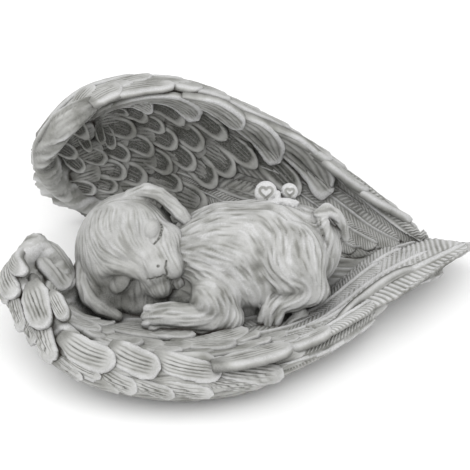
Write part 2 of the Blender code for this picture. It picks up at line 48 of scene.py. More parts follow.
# Wing faces, from the wrist at the left to the tip, each column from the rim down
farInside = (
    ((-74, 34, 67), (-82, 38, 53), (-83, 45, 37), (-77, 51, 21), (-60, 54, 7)),
    ((-55, 39, 79), (-57, 56, 64), (-56, 61, 46), (-53, 59, 26), (-45, 48, 7)),
    ((-28, 44, 81), (-28, 58, 67), (-27, 61, 48), (-26, 55, 27), (-24, 36, 8)),
    ((0, 48, 66), (0, 56, 53), (0, 55, 38), (0, 46, 21), (0, 26, 7)),
    ((32, 48, 44), (33, 50, 35), (33, 47, 26), (34, 38, 15), (34, 20, 7)),
    ((58, 43, 23), (59, 42, 18), (60, 38, 13), (60, 32, 9), (60, 22, 7)),
    ((83, 29, 11), (84, 28, 10), (84, 27, 8), (83, 26, 7), (81, 25, 7)),
)
farOutside = (
    ((-74, 34, 67), (-87, 44, 52), (-89, 50, 34), (-86, 55, 14), (-64, 58, -2)),
    ((-55, 39, 79), (-65, 52, 71), (-64, 64, 47), (-60, 64, 20), (-47, 58, -2)),
    ((-28, 44, 81), (-31, 55, 75), (-30, 65, 54), (-28, 65, 26), (-24, 55, -2)),
    ((0, 48, 66), (1, 55, 61), (1, 62, 44), (1, 60, 21), (0, 47, -2)),
    ((32, 48, 44), (33, 54, 40), (34, 58, 28), (34, 54, 13), (33, 40, -2)),
    ((58, 43, 23), (60, 46, 20), (60, 48, 14), (60, 44, 7), (58, 33, 1)),
    ((83, 29, 11), (84, 30, 9), (84, 30, 7), (83, 28, 4), (81, 25, 3)),
)
nearInside = (
    ((-83, -6, 36), (-76, -8, 28), (-70, -9, 19), (-64, -8, 11), (-58, -5, 6)),
    ((-90, -24, 35), (-82, -25, 27), (-75, -25, 19), (-66, -23, 11), (-56, -18, 6)),
    ((-77, -42, 30), (-71, -38, 22), (-64, -34, 15), (-55, -29, 10), (-48, -20, 6)),
    ((-56, -61, 25), (-53, -50, 18), (-50, -40, 13), (-45, -30, 9), (-40, -12, 6)),
    ((-28, -67, 22), (-28, -57, 17), (-27, -46, 13), (-25, -33, 9), (-22, -10, 6)),
    ((4, -62, 20), (4, -53, 16), (4, -43, 12), (4, -30, 9), (4, -8, 6)),
    ((34, -45, 16), (34, -38, 13), (34, -28, 10), (34, -17, 8), (34, 0, 6)),
    ((66, -11, 15), (66, -5, 14), (66, 4, 12), (66, 15, 10), (64, 26, 8)),
    ((103, 18, 16), (103, 20, 16), (102, 22, 15), (100, 24, 14), (96, 26, 12)),
)
nearOutside = (
    ((-83, -6, 36), (-88, -2, 26), (-80, 0, 13), (-66, -2, -2)),
    ((-90, -24, 35), (-96, -24, 27), (-89, -23, 13), (-72, -19, -2)),
    ((-77, -42, 30), (-87, -45, 23), (-80, -41, 11), (-64, -32, -2)),
    ((-56, -61, 25), (-62, -67, 17), (-57, -60, 8), (-46, -46, -2)),
    ((-28, -67, 22), (-29, -73, 14), (-29, -69, 7), (-26, -54, -2)),
    ((4, -62, 20), (5, -68, 14), (5, -63, 6), (4, -49, -2)),
    ((34, -45, 16), (36, -47, 12), (34, -38, 6), (27, -28, -2)),
    ((66, -11, 15), (67, -12, 12), (65, -7, 8), (58, 0, 2)),
    ((103, 18, 16), (103, 19, 13), (101, 21, 11), (96, 23, 9)),
)


def splineWeights(t, count):  # Catmull-Rom, running straight on past the ends
    t = np.asarray(t, float)
    weights = np.zeros((len(t), count + 2))
    inner = np.clip(t, 0, count - 1)
    first = np.minimum(inner.astype(int), count - 2)
    f = inner - first
    rows = np.arange(len(t))
    shares = (
        (-f + 2 * f**2 - f**3) / 2,
        (2 - 5 * f**2 + 3 * f**3) / 2,
        (f + 4 * f**2 - 3 * f**3) / 2,
        (f**3 - f**2) / 2,
    )
    for step, share in enumerate(shares):
        weights[rows, first + step] += share
    weights[:, 1] += 2 * weights[:, 0]
    weights[:, 2] -= weights[:, 0]
    weights[:, count] += 2 * weights[:, count + 1]
    weights[:, count - 1] -= weights[:, count + 1]
    weights = weights[:, 1:-1]
    past = t - inner
    low, high = past < 0, past > 0
    weights[low, 0] -= past[low]
    weights[low, 1] += past[low]
    weights[high, -1] += past[high]
    weights[high, -2] -= past[high]
    return weights


def onNet(net, column, row):
    net = np.array(net, float)
    across = splineWeights(column, net.shape[0])
    down = splineWeights(row, net.shape[1])
    return np.einsum("nc,nr,crk->nk", across, down, net)


def meshFrom(name, points, faces, scale=1.0):
    mesh = bpy.data.meshes.new(name)
    mesh.from_pydata((np.asarray(points) * scale).tolist(), [], [list(map(int, f)) for f in faces])
    mesh.update()
    return mesh


def objectFrom(name, mesh):
    obj = bpy.data.objects.new(name, mesh)
    bpy.context.scene.collection.objects.link(obj)
    return obj


def vertexArray(mesh, kind="co"):
    values = np.empty(len(mesh.vertices) * 3)
    if kind == "co":
        mesh.vertices.foreach_get("co", values)
    else:
        mesh.vertex_normals.foreach_get("vector", values)
    return values.reshape(-1, 3)


def setVertices(mesh, points):
    mesh.vertices.foreach_set("co", np.asarray(points, float).ravel())
    mesh.update()


def setFloats(mesh, name, values):
    attribute = mesh.attributes.get(name) or mesh.attributes.new(name, "FLOAT", "POINT")
    attribute.data.foreach_set("value", np.asarray(values, np.float32).ravel())


def gridFaces(rows, columns, wrap=False):
    across = columns if wrap else columns - 1
    i, j = np.meshgrid(np.arange(rows - 1), np.arange(across), indexing="ij")
    k = (j + 1) % columns
    here, onward = i * columns, (i + 1) * columns
    return np.stack([here + j, here + k, onward + k, onward + j], -1).reshape(-1, 4).tolist()


def voxelSkin(name, parts, size):  # one closed skin round overlapping closed shapes
    points, faces, start = [], [], 0
    for p, f in parts:
        points.append(np.asarray(p, float))
        faces.extend([i + start for i in face] for face in f)
        start += len(p)
    obj = objectFrom(name, meshFrom(name, np.concatenate(points), faces))
    modifier = obj.modifiers.new("voxels", "REMESH")
    modifier.mode = "VOXEL"
    modifier.voxel_size = size
    modifier.use_smooth_shade = True
    graph = bpy.context.evaluated_depsgraph_get()
    mesh = bpy.data.meshes.new_from_object(obj.evaluated_get(graph))
    bpy.data.objects.remove(obj)
    mesh.name = name
    return mesh


def tubePart(path, radii, sides=12):
    path, radii = np.array(path, float), np.array(radii, float)
    ahead = np.gradient(path, axis=0)
    ahead /= np.linalg.norm(ahead, axis=1)[:, None]
    first, last = path[0] - ahead[0] * radii[0] * 0.8, path[-1] + ahead[-1] * radii[-1] * 0.8
    path = np.concatenate([[first], path, [last]])
    radii = np.concatenate([[radii[0] * 0.5], radii, [radii[-1] * 0.5]])
    ahead = np.concatenate([[ahead[0]], ahead, [ahead[-1]]])
    side = np.cross(ahead, (0.31, 0.22, 0.93))
    side /= np.linalg.norm(side, axis=1)[:, None]
    up = np.cross(side, ahead)
    turn = np.arange(sides) * 2 * math.pi / sides
    ring = np.cos(turn)[None, :, None] * side[:, None] + np.sin(turn)[None, :, None] * up[:, None]
    points = (path[:, None] + radii[:, None, None] * ring).reshape(-1, 3)
    faces = gridFaces(len(path), sides, True)
    faces.append(list(range(sides))[::-1])
    faces.append([(len(path) - 1) * sides + k for k in range(sides)])
    return points, faces


def ballPart(centre, radii, axes=np.eye(3), level=4):
    bm = bmesh.new()
    bmesh.ops.create_icosphere(bm, subdivisions=level, radius=1.0)
    points = np.array([tuple(v.co) for v in bm.verts]) * np.array(radii, float) @ axes
    points = points + np.array(centre, float)
    faces = [[v.index for v in f.verts] for f in bm.faces]
    bm.free()
    return points, faces


def smoothStep(low, high, x):
    t = np.clip((x - low) / (high - low), 0, 1)
    return t * t * (3 - 2 * t)


def noiseAt(points, grain, seed):  # Perlin noise, grain in millimetres
    shift = Vector((seed * 13.7, seed * 7.3, seed * 3.1))
    return np.array([noise.noise(Vector(p) / grain + shift) for p in points])


# Noise smeared along the combed direction, which leaves wavy ridges like modelled fur
def strokes(points, normals, comb, grain, step, rounds, seed):
    lie = comb - (comb * normals).sum(1)[:, None] * normals
    lie /= np.maximum(np.linalg.norm(lie, axis=1), 1e-6)[:, None]
    tree = kdtree.KDTree(len(points))
    for i, p in enumerate(points):
        tree.insert(p, i)
    tree.balance()
    onward = np.array([tree.find(p)[1] for p in points + lie * step])
    behind = np.array([tree.find(p)[1] for p in points - lie * step])
    values = noiseAt(points, grain, seed)
    for _ in range(rounds):
        values = (values + values[onward] + values[behind]) / 3
    return (values - values.mean()) / values.std()


def addNode(tree, kind, inputs=(), **settings):  # inputs by name or number, or in their order
    node = tree.nodes.new(kind)
    for key, value in settings.items():
        setattr(node, key, value)
    for key, value in inputs.items() if isinstance(inputs, dict) else enumerate(inputs):
        if isinstance(value, bpy.types.NodeSocket):
            tree.links.new(value, node.inputs[key])
        else:
            node.inputs[key].default_value = value
    return node


def toLinear(code, alpha=1.0):
    shares = [int(code[i:i + 2], 16) / 255 for i in (1, 3, 5)]
    return tuple(c / 12.92 if c <= 0.04045 else ((c + 0.055) / 1.055) ** 2.4 for c in shares) + (alpha,)


# Cast polyresin filled with stone powder, matt. A dark wash was wiped off the high places, so it stays in
# grooves, and a pale dry brush then caught the edges. The same dark colour is also painted in as shade,
# from ambient occlusion where the casting closes in on itself. Typical IOR of polyester resin is 1.54.
resinLook = {
    # one dark colour for the wash in grooves and for painted shade
    "body": "#acaca9", "shade": "#898984", "pale": "#dbdbdd", "washAndShade": "#26261f", "rust": "#8d7468",
    "roughness": 0.74, "ior": 1.54,
    "mottle": 9.0, "speckle": 0.55, "grain": 0.28,  # sizes of the patterns in mm
    "wideReach": 0.011, "nearReach": 0.0025,  # how far off a surface shades another, in metres
}


def castResin(name, paleness):
    look = resinLook
    material = bpy.data.materials.new(name)
    material.use_nodes = True
    tree = material.node_tree
    shader = tree.nodes["Principled BSDF"]
    where = addNode(tree, "ShaderNodeTexCoord").outputs["Object"]
    washAndShade = addNode(tree, "ShaderNodeAttribute", attribute_name="washAndShade").outputs["Fac"]
    patterns = []
    for key, detail in (("mottle", 3.0), ("speckle", 2.0), ("grain", 1.0)):
        node = {"Vector": where, "Scale": 1000 / look[key], "Detail": detail}
        patterns.append(addNode(tree, "ShaderNodeTexNoise", node).outputs[0])
    mottle, speckle, grain = patterns
    # ambient occlusion at two reaches, used to paint shade into the colour
    wide, near = (
        addNode(tree, "ShaderNodeAmbientOcclusion", {"Distance": look[key]}, samples=6).outputs["AO"]
        for key in ("wideReach", "nearReach")
    )
    high, brushed, deep, tight, groove, patchy, foldShadeShare, rough = (
        addNode(tree, "ShaderNodeMapRange", values).outputs[0] for values in (
            (washAndShade, 0.30, 0.05, 0.0, 1.0),  # high places, for the dry brush
            (speckle, 0.35, 0.65, 0.45 * paleness, 0.85 * paleness),  # which the speckle breaks up
            (wide, 0.78, 0.22, 0.0, 0.9),  # painted shade where the casting closes in on itself
            (near, 0.80, 0.30, 0.0, 0.9),
            (washAndShade, 0.28, 0.85, 0.0, 0.92),  # wash in modelled grooves, plus the painted shade that this attribute carries
            (speckle, 0.3, 0.7, 0.75, 1.1),  # uneven wiping
            (near, 0.35, 0.05, 0.0, 0.35),  # a brown painted shade in the tightest folds
            (speckle, 0.3, 0.7, look["roughness"] - 0.08, look["roughness"] + 0.1),
        )
    )
    tint = addNode(tree, "ShaderNodeValToRGB", {"Fac": mottle})
    for stop, place, key in zip(tint.color_ramp.elements, (0.32, 0.58), ("shade", "body")):
        stop.position, stop.color = place, toLinear(look[key])
    edge = addNode(tree, "ShaderNodeMath", (high, brushed), operation="MULTIPLY").outputs[0]
    occlusionShade = addNode(tree, "ShaderNodeMath", (deep, tight), operation="MAXIMUM").outputs[0]
    total = addNode(tree, "ShaderNodeMath", (occlusionShade, groove), operation="MAXIMUM").outputs[0]
    # share of the dark colour: the wash, and painted shade in recesses and folds
    washAndShadeShare = addNode(tree, "ShaderNodeMath", (total, patchy), operation="MULTIPLY", use_clamp=True).outputs[0]
    washAndShadeShare = addNode(tree, "ShaderNodeMath", (washAndShadeShare, 0.92), operation="MULTIPLY").outputs[0]
    colour = tint.outputs[0]
    for share, key in ((edge, "pale"), (washAndShadeShare, "washAndShade"), (foldShadeShare, "rust")):
        inputs = {0: share, 6: colour, 7: toLinear(look[key])}
        colour = addNode(tree, "ShaderNodeMix", inputs, data_type="RGBA").outputs[2]
    pits = addNode(tree, "ShaderNodeBump", {"Height": grain, "Strength": 0.35, "Distance": 0.0001}).outputs[0]
    lumps = {"Height": speckle, "Strength": 0.5, "Distance": 0.0003, "Normal": pits}
    lumps = addNode(tree, "ShaderNodeBump", lumps).outputs[0]
    for key, value in (("Base Color", colour), ("Roughness", rough), ("Normal", lumps)):
        tree.links.new(value, shader.inputs[key])
    shader.inputs["IOR"].default_value = look["ior"]
    shader.inputs["Specular IOR Level"].default_value = 0.35
    return material


resin = castResin("washedAndShadedCastResin", 0.75)
featherResin = castResin("washedAndShadedFeatherResin", 0.85)
butterflyResin = castResin("paleBrushedCastResin", 1.0)
print("materials made")


def keep(obj, material):  # scales a finished piece into the frame and hands it over
    mesh = obj.data
    setVertices(mesh, (vertexArray(mesh) + standAt) * mm)
    mesh.materials.clear()
    mesh.materials.append(material)
    mesh.polygons.foreach_set("use_smooth", np.ones(len(mesh.polygons), bool))
    mesh.calc_loop_triangles()
    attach(obj, "root")
    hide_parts(castingNode)
    print(obj.name, len(mesh.loop_triangles), "triangles")


heightLimit = {"bowedFrom": 76.0, "bow": 0.02}


def withinHeight(mesh):  # flattens what would pass under the floor, and bows the far rim's top down
    points = vertexArray(mesh)
    over = np.clip(points[:, 2] - heightLimit["bowedFrom"], 0, None)
    points[:, 2] = np.maximum(points[:, 2], 0.0) - heightLimit["bow"] * over**2
    setVertices(mesh, points)


# Both wings' bodies, their rolled rims and the bed between them
wingBody = {"voxel": 1.4, "rim": 2.2, "farArm": 6.0, "nearArm": 5.0, "relief": 0.35}


def wingPart(inside, outside):
    columns = np.linspace(0, len(inside) - 1, 8 * (len(inside) - 1) + 1)
    rings = []
    for column in columns:
        rowsIn = np.linspace(len(inside[0]) - 1, 0, 21)
        rowsOut = np.linspace(0, len(outside[0]) - 1, 21)[1:]
        a = onNet(inside, np.full(len(rowsIn), column), rowsIn)
        b = onNet(outside, np.full(len(rowsOut), column), rowsOut)
        rings.append(np.concatenate([a, b]))
    size = len(rings[0])
    points = np.concatenate(rings + [rings[0].mean(0)[None], rings[-1].mean(0)[None]])
    faces = gridFaces(len(rings), size, True)
    last = (len(rings) - 1) * size
    for j in range(size):
        k = (j + 1) % size
        faces.append([len(points) - 2, k, j])
        faces.append([len(points) - 1, last + j, last + k])
    return points, faces


def bedPart():
    turn = np.linspace(0, 2 * math.pi, 49)[:-1]
    rings = []
    for z, grow in ((-2, 1.0), (3, 1.0), (6.5, 0.93), (8.0, 0.7)):
        x = 62 * grow * np.sign(np.cos(turn)) * np.abs(np.cos(turn)) ** 0.66
        y = 9 + 0.2 * x + 33 * grow * np.sign(np.sin(turn)) * np.abs(np.sin(turn)) ** 0.66
        rings.append(np.stack([x, y, np.full(len(turn), float(z))], axis=1))
    faces = gridFaces(len(rings), len(turn), True)
    faces.append(list(range(len(turn)))[::-1])
    faces.append([3 * len(turn) + k for k in range(len(turn))])
    return np.concatenate(rings), faces


def buildWingBodies():
    parts = [bedPart(), wingPart(farInside, farOutside), wingPart(nearInside, nearOutside)]
    for net, arm in ((farInside, wingBody["farArm"]), (nearInside, wingBody["nearArm"])):
        columns = np.linspace(0, len(net) - 1.05, 50)
        grow = np.exp(-(columns / 0.9) ** 2)
        tip = 1 - 0.45 * np.clip((columns - (len(net) - 3)) / 2, 0, 1)
        radii = (wingBody["rim"] + (arm - wingBody["rim"]) * grow) * tip
        parts.append(tubePart(onNet(net, columns, np.zeros(len(columns))), radii))
    for net, low, start, end in ((farInside, 3.9, 6.0, 5.0), (nearInside, 2.6, 5.0, 4.0)):
        rows = np.linspace(0, low, 16)
        parts.append(tubePart(onNet(net, np.full(len(rows), 0.05), rows), np.linspace(start, end, len(rows))))
    mesh = voxelSkin("wingBodies", parts, wingBody["voxel"])
    points, normals = vertexArray(mesh), vertexArray(mesh, "normal")
    comb = np.tile((0.75, 0.1, 0.35), (len(points), 1))
    ridges = strokes(points, normals, comb, 2.2, 2.0, 8, 3)
    free = smoothStep(0.5, 3.0, points[:, 2])
    points += normals * (wingBody["relief"] * ridges * free)[:, None]
    setVertices(mesh, points)
    # Painted shade: the far wing's inner face, turned towards the viewer, is darkened on its upper part,
    # fading out towards the tip.
    inside = smoothStep(20, 40, points[:, 1]) * smoothStep(0.1, 0.5, -normals[:, 1])
    inside *= smoothStep(70, 10, points[:, 0]) * smoothStep(14, 34, points[:, 2])
    setFloats(mesh, "washAndShade", np.clip(0.26 - 0.2 * ridges + 0.3 * inside, 0, 1))
    bm = bmesh.new()
    bm.from_mesh(mesh)
    everything = bm.verts[:] + bm.edges[:] + bm.faces[:]
    floor = {"plane_co": (0, 0, 0), "plane_no": (0, 0, 1)}
    bmesh.ops.bisect_plane(bm, geom=everything, dist=1e-6, clear_inner=True, **floor)
    bmesh.ops.holes_fill(bm, edges=[e for e in bm.edges if e.is_boundary], sides=0)
    bm.to_mesh(mesh)
    bm.free()
    withinHeight(mesh)
    keep(objectFrom("wingBodies", mesh), resin)


buildWingBodies()


# Places on the figure are given as the camera sees them: millimetres across and up the picture, and then
# towards the eye, which sits a metre away.
sight = {
    "down": math.radians(38.0), "far": 1000.0, "level": 27.95,
    "pixel": 0.43, "middle": (235, 300),  # a picture pixel in mm, and the pixel that is 0 across and 0 up
}
seenAxes = np.array((
    (1, 0, 0),
    (0, math.sin(sight["down"]), math.cos(sight["down"])),
    (0, -math.cos(sight["down"]), math.sin(sight["down"])),
))


def seen(across, up, near):
    k = 1 - near / sight["far"]
    return np.array((across * k, sight["level"] + (up - sight["level"]) * k, near)) @ seenAxes


def leaning(degrees):  # the picture's axes, turned anticlockwise in the picture
    c, s = math.cos(math.radians(degrees)), math.sin(math.radians(degrees))
    return np.array(((c, s, 0), (-s, c, 0), (0, 0, 1))) @ seenAxes


def inPicture(points):  # the other way round: millimetres across and up the picture
    turned = np.asarray(points) @ seenAxes.T
    k = 1 - turned[:, 2] / sight["far"]
    return np.stack([turned[:, 0] / k, sight["level"] + (turned[:, 1] - sight["level"]) / k], 1)


# Feathers. A blade is drawn flat: x from root 0 to free end 1, y across, z in millimetres.
def bladeMesh(name, along, across, tipStart, crowding, relief, thick):
    s = 1 - (1 - np.linspace(0, 1, along)) ** crowding
    q = np.linspace(-1, 1, across)
    rounding = 1 - np.clip((s - tipStart) / (1 - tipStart), 0, 1) ** 2.3
    half = np.minimum(1, 0.55 + 1.5 * s) * np.sqrt(np.clip(rounding, 0.004, 1))
    lengths, sides = np.meshgrid(s, q, indexing="ij")
    height, washAndShade = relief(lengths, sides)
    height = height - 0.5 * thick * np.abs(sides) ** 7 - 0.4 * thick * smoothStep(0.93, 1.0, lengths)
    top = np.stack([lengths, sides * half[:, None], height], -1).reshape(-1, 3)
    edges = np.stack([-half, half], 1).ravel() * 0.96
    low = np.stack([np.repeat(s, 2), edges, np.full(2 * along, -thick)], 1)
    points = np.concatenate([top, low])
    faces = gridFaces(along, across)
    faces = [f[::-1] for f in faces]
    base = along * across
    for i in range(along - 1):
        left, right = i * across, i * across + across - 1
        a, b, c, d = base + 2 * i, base + 2 * i + 1, base + 2 * i + 3, base + 2 * i + 2
        faces.append([a, b, c, d])
        faces.append([left, a, d, left + across])
        faces.append([right, right + across, c, b])
    rootTop = list(range(across))
    tipTop = [base - across + j for j in range(across)]
    faces.append(rootTop + [base + 1, base])
    faces.append(tipTop[::-1] + [base + 2 * along - 2, base + 2 * along - 1])
    mesh = meshFrom(name, points, faces)
    bm = bmesh.new()
    bm.from_mesh(mesh)
    bmesh.ops.recalc_face_normals(bm, faces=bm.faces)
    bm.to_mesh(mesh)
    bm.free()
    setFloats(mesh, "along", points[:, 0])
    # The blade's sides and underside carry painted shade.
    setFloats(mesh, "washAndShade", np.concatenate([washAndShade.ravel(), np.full(2 * along, 0.7)]))
    obj = objectFrom(name, mesh)
    obj.hide_render = True
    return obj


def edgeBand(s, q, tipStart):  # 0 in the middle of a blade, 1 at its outline
    tip = np.clip((s - tipStart) / (1 - tipStart), 0, 1)
    return (np.abs(q) ** 4 + tip**4) ** 0.25


def line(q, centre, width):
    return np.exp(-(((q - centre) / width) ** 2))


def scallopRelief(s, q):  # short round feather: raised border, three or four strokes cut lengthwise
    band = edgeBand(s, q, 0.5)
    border = smoothStep(0.60, 0.82, band)
    reach = smoothStep(0.30, 0.42, s) * (1 - smoothStep(0.70, 0.82, s))
    places = ((-0.42, 0.8), (-0.12, 1.0), (0.2, 0.9), (0.45, 0.6))
    cuts = sum(line(q, c + 0.08 * s, 0.075) * k for c, k in places) * reach
    height = 0.75 + 0.75 * border - 0.75 * cuts
    # Wash in the cuts; the last term is painted shade at the root, where the feather goes under the one
    # above.
    washAndShade = 0.42 - 0.34 * border + 0.75 * cuts + 0.35 * (1 - smoothStep(0.15, 0.5, s))
    washAndShade += 0.25 * line(band, 0.58, 0.07)
    return height, np.clip(washAndShade, 0, 1)


def rimRelief(s, q):  # long arched feather of the rim: fine lengthwise strokes, rounded thick end
    band = edgeBand(s, q, 0.78)
    border = smoothStep(0.66, 0.86, band)
    bend = q + 0.10 * np.sin(5 * s)
    cuts = 0.5 + 0.5 * np.cos(bend * 2 * math.pi / 0.33)
    cuts = cuts**2 * (1 - border) * smoothStep(0.05, 0.2, s)
    deep = line(q, 0.18, 0.07) * smoothStep(0.35, 0.5, s) * (1 - smoothStep(0.75, 0.85, s))
    height = 1.0 + 0.45 * border + 0.5 * (1 - q**2) - 0.35 * cuts - 0.8 * deep
    # Wash in the cuts and deep line; the last term is painted shade at the root, where the feather goes under
    # the one above.
    washAndShade = 0.30 - 0.2 * border + 0.3 * cuts + 0.7 * deep + 0.3 * (1 - smoothStep(0.05, 0.3, s))
    return height, np.clip(washAndShade, 0, 1)


def flightRelief(s, q):  # long flight feather: raised shaft, barbs slanting away from it
    shaft = line(q, 0.0, 0.09)
    trench = line(q, 0.17, 0.06) + line(q, -0.17, 0.06)
    run = s * 32 - np.abs(q) * 2.3 + 0.5 * np.sin(7 * s) + 0.3 * (q > 0)
    barbs = 0.5 - 0.5 * np.cos(2 * math.pi * run)
    cut = (1 - barbs) ** 1.5
    free = smoothStep(0.1, 0.3, np.abs(q)) * (1 - 0.5 * smoothStep(0.9, 1.0, s))
    height = 0.95 + 0.85 * shaft - 0.35 * trench - 0.55 * cut * free + 0.2 * (1 - q**2)
    # Wash between the barbs; the last term is painted shade at the root, where the feather goes under the one
    # above.
    washAndShade = 0.15 + 0.5 * cut * free + 0.3 * trench - 0.12 * shaft + 0.25 * (1 - smoothStep(0.0, 0.2, s))
    return height, np.clip(washAndShade, 0, 1)


def covertRelief(s, q):  # broad smooth feather of the outside, a few long shallow strokes
    band = edgeBand(s, q, 0.72)
    border = smoothStep(0.7, 0.9, band)
    places = ((-0.6, 0.5), (-0.3, 0.8), (0.05, 1.0), (0.35, 0.7), (0.62, 0.5))
    cuts = sum(line(q, c + 0.10 * np.sin(4 * s + c), 0.05) * k for c, k in places)
    cuts = cuts * smoothStep(0.1, 0.3, s) * (1 - smoothStep(0.74, 0.9, s))
    height = 1.2 + 0.55 * (1 - q**2) + 0.25 * border - 0.5 * cuts
    # Wash in the cuts; the last term is painted shade at the root, where the feather goes under the one
    # above.
    washAndShade = 0.2 + 0.65 * cuts - 0.1 * border + 0.35 * (1 - smoothStep(0.05, 0.25, s))
    return height, np.clip(washAndShade, 0, 1)


# Rings along, points across, where the end starts to round, how rings crowd there, relief and thickness
blades = {name: bladeMesh(name + "Blade", *sizes) for name, sizes in {
    "scallop": (24, 27, 0.5, 1.35, scallopRelief, 1.6),
    "rim": (64, 37, 0.78, 1.35, rimRelief, 2.0),
    "flight": (156, 25, 0.86, 1.1, flightRelief, 1.6),
    "covert": (44, 29, 0.72, 1.35, covertRelief, 2.2),
    "plain": (26, 19, 0.72, 1.35, covertRelief, 2.2),
}.items()}


def sheetObject(name, net, side):  # the face that feathers lie on, run on past its edges, with its map
    lowC, highC, lowR, highR = -1.2, len(net) + 0.4, -2.2, len(net[0]) + 0.2
    nc, nr = 14 * len(net), 12 * len(net[0])
    c, r = np.meshgrid(np.linspace(lowC, highC, nc), np.linspace(lowR, highR, nr), indexing="ij")
    points = onNet(net, c.ravel(), r.ravel())
    faces = gridFaces(nc, nr)
    if side > 0:
        faces = [f[::-1] for f in faces]
    mesh = meshFrom(name, points, faces)
    uv = mesh.attributes.new("sheetUv", "FLOAT2", "CORNER")
    flat = np.stack([(c.ravel() - lowC) / (highC - lowC), (r.ravel() - lowR) / (highR - lowR)], 1)
    corner = np.empty(len(mesh.loops), np.int32)
    mesh.loops.foreach_get("vertex_index", corner)
    uv.data.foreach_set("vector", flat[corner].astype(np.float32).ravel())
    obj = objectFrom(name, mesh)
    obj.hide_render = True
    return obj, (lowC, highC - lowC, lowR, highR - lowR)


# Blades instanced on layout points, made real, then laid on the sheet by its map
def featherCoatTree():
    tree = bpy.data.node_groups.new("featherCoat", "GeometryNodeTree")
    for name, kind in (
        ("Geometry", "Geometry"), ("Blade", "Object"), ("Sheet", "Object"), ("Map start", "Vector"),
        ("Map span", "Vector"), ("Turned over", "Bool"), ("Root rise", "Float"), ("Lumps", "Float"),
        ("Finish", "Material"),
    ):
        tree.interface.new_socket(name=name, in_out="INPUT", socket_type="NodeSocket" + kind)
    tree.interface.new_socket(name="Geometry", in_out="OUTPUT", socket_type="NodeSocketGeometry")
    given = addNode(tree, "NodeGroupInput").outputs
    kept = {}
    for name in ("size", "anchor", "along", "bend", "asideRoot", "asideTip", "run", "sheetUv"):
        kind = "FLOAT" if name in ("along", "bend") else "FLOAT_VECTOR"
        node = addNode(tree, "GeometryNodeInputNamedAttribute", {"Name": name}, data_type=kind)
        kept[name] = node.outputs["Attribute"]
    share = kept["along"]

    blade = {"Object": given["Blade"], "As Instance": True}
    blade = addNode(tree, "GeometryNodeObjectInfo", blade).outputs["Geometry"]
    sheet = addNode(tree, "GeometryNodeObjectInfo", {"Object": given["Sheet"]}).outputs["Geometry"]
    copies = {"Points": given["Geometry"], "Instance": blade, "Scale": kept["size"]}
    copies = addNode(tree, "GeometryNodeInstanceOnPoints", copies).outputs[0]
    real = addNode(tree, "GeometryNodeRealizeInstances", (copies,)).outputs[0]
    here = addNode(tree, "GeometryNodeInputPosition").outputs[0]
    local = addNode(tree, "ShaderNodeSeparateXYZ", (here,)).outputs

    # the place on the sheet: from the anchor along the run, and sideways, with an arch in the middle
    arch = addNode(tree, "ShaderNodeMath", (share, -4.0, 4.0), operation="MULTIPLY_ADD").outputs[0]
    arch = addNode(tree, "ShaderNodeMath", (share, arch), operation="MULTIPLY").outputs[0]
    sideways = (kept["bend"], arch, local[1])
    sideways = addNode(tree, "ShaderNodeMath", sideways, operation="MULTIPLY_ADD").outputs[0]
    aside = {0: share, 4: kept["asideRoot"], 5: kept["asideTip"]}
    aside = addNode(tree, "ShaderNodeMix", aside, data_type="VECTOR").outputs[1]
    across, spot = (
        addNode(tree, "ShaderNodeVectorMath", {0: way, "Scale": reach}, operation="SCALE").outputs[0]
        for way, reach in ((aside, sideways), (kept["run"], share))
    )
    for how, other in (
        ("ADD", kept["anchor"]), ("ADD", across),
        ("SUBTRACT", given["Map start"]), ("DIVIDE", given["Map span"]),
        ("MAXIMUM", (0.002, 0.002, 0.0)), ("MINIMUM", (0.998, 0.998, 1.0)),  # stays on the sheet
    ):
        spot = addNode(tree, "ShaderNodeVectorMath", (spot, other), operation=how).outputs[0]

    # laid there, lifted by its own height and the stand-off, and made a little lumpy
    normal = addNode(tree, "GeometryNodeInputNormal").outputs[0]
    sampled = []
    for value in (here, normal):
        node = {"Mesh": sheet, "Value": value, "UV Map": kept["sheetUv"], "Sample UV": spot}
        node = addNode(tree, "GeometryNodeSampleUVSurface", node, data_type="FLOAT_VECTOR")
        sampled.append(node.outputs[0])
    standOff = addNode(tree, "ShaderNodeSeparateXYZ", (kept["anchor"],)).outputs[2]
    rise = addNode(tree, "ShaderNodeMath", (1.0, given["Root rise"]), operation="SUBTRACT").outputs[0]
    rise = (share, rise, given["Root rise"])
    rise = addNode(tree, "ShaderNodeMath", rise, operation="MULTIPLY_ADD").outputs[0]
    lift = addNode(tree, "ShaderNodeMath", (standOff, rise, local[2]), operation="MULTIPLY_ADD").outputs[0]
    raised = {0: sampled[1], "Scale": lift}
    raised = addNode(tree, "ShaderNodeVectorMath", raised, operation="SCALE").outputs[0]
    raised = addNode(tree, "ShaderNodeVectorMath", (sampled[0], raised), operation="ADD").outputs[0]
    laid = addNode(tree, "GeometryNodeSetPosition", {"Geometry": real, "Position": raised}).outputs[0]
    flipped = {"Mesh": laid, "Selection": given["Turned over"]}
    flipped = addNode(tree, "GeometryNodeFlipFaces", flipped).outputs[0]
    lumpy = addNode(tree, "ShaderNodeTexNoise", {"Scale": 0.35, "Detail": 2.0}).outputs[0]
    swell = addNode(tree, "ShaderNodeMath", (lumpy, 0.5), operation="SUBTRACT").outputs[0]
    swell = addNode(tree, "ShaderNodeMath", (swell, given["Lumps"]), operation="MULTIPLY").outputs[0]
    push = addNode(tree, "ShaderNodeVectorMath", {0: normal, "Scale": swell}, operation="SCALE").outputs[0]
    moved = addNode(tree, "GeometryNodeSetPosition", {"Geometry": flipped, "Offset": push}).outputs[0]
    done = {"Geometry": moved, "Material": given["Finish"]}
    done = addNode(tree, "GeometryNodeSetMaterial", done).outputs[0]
    addNode(tree, "NodeGroupOutput", (done,))
    return tree


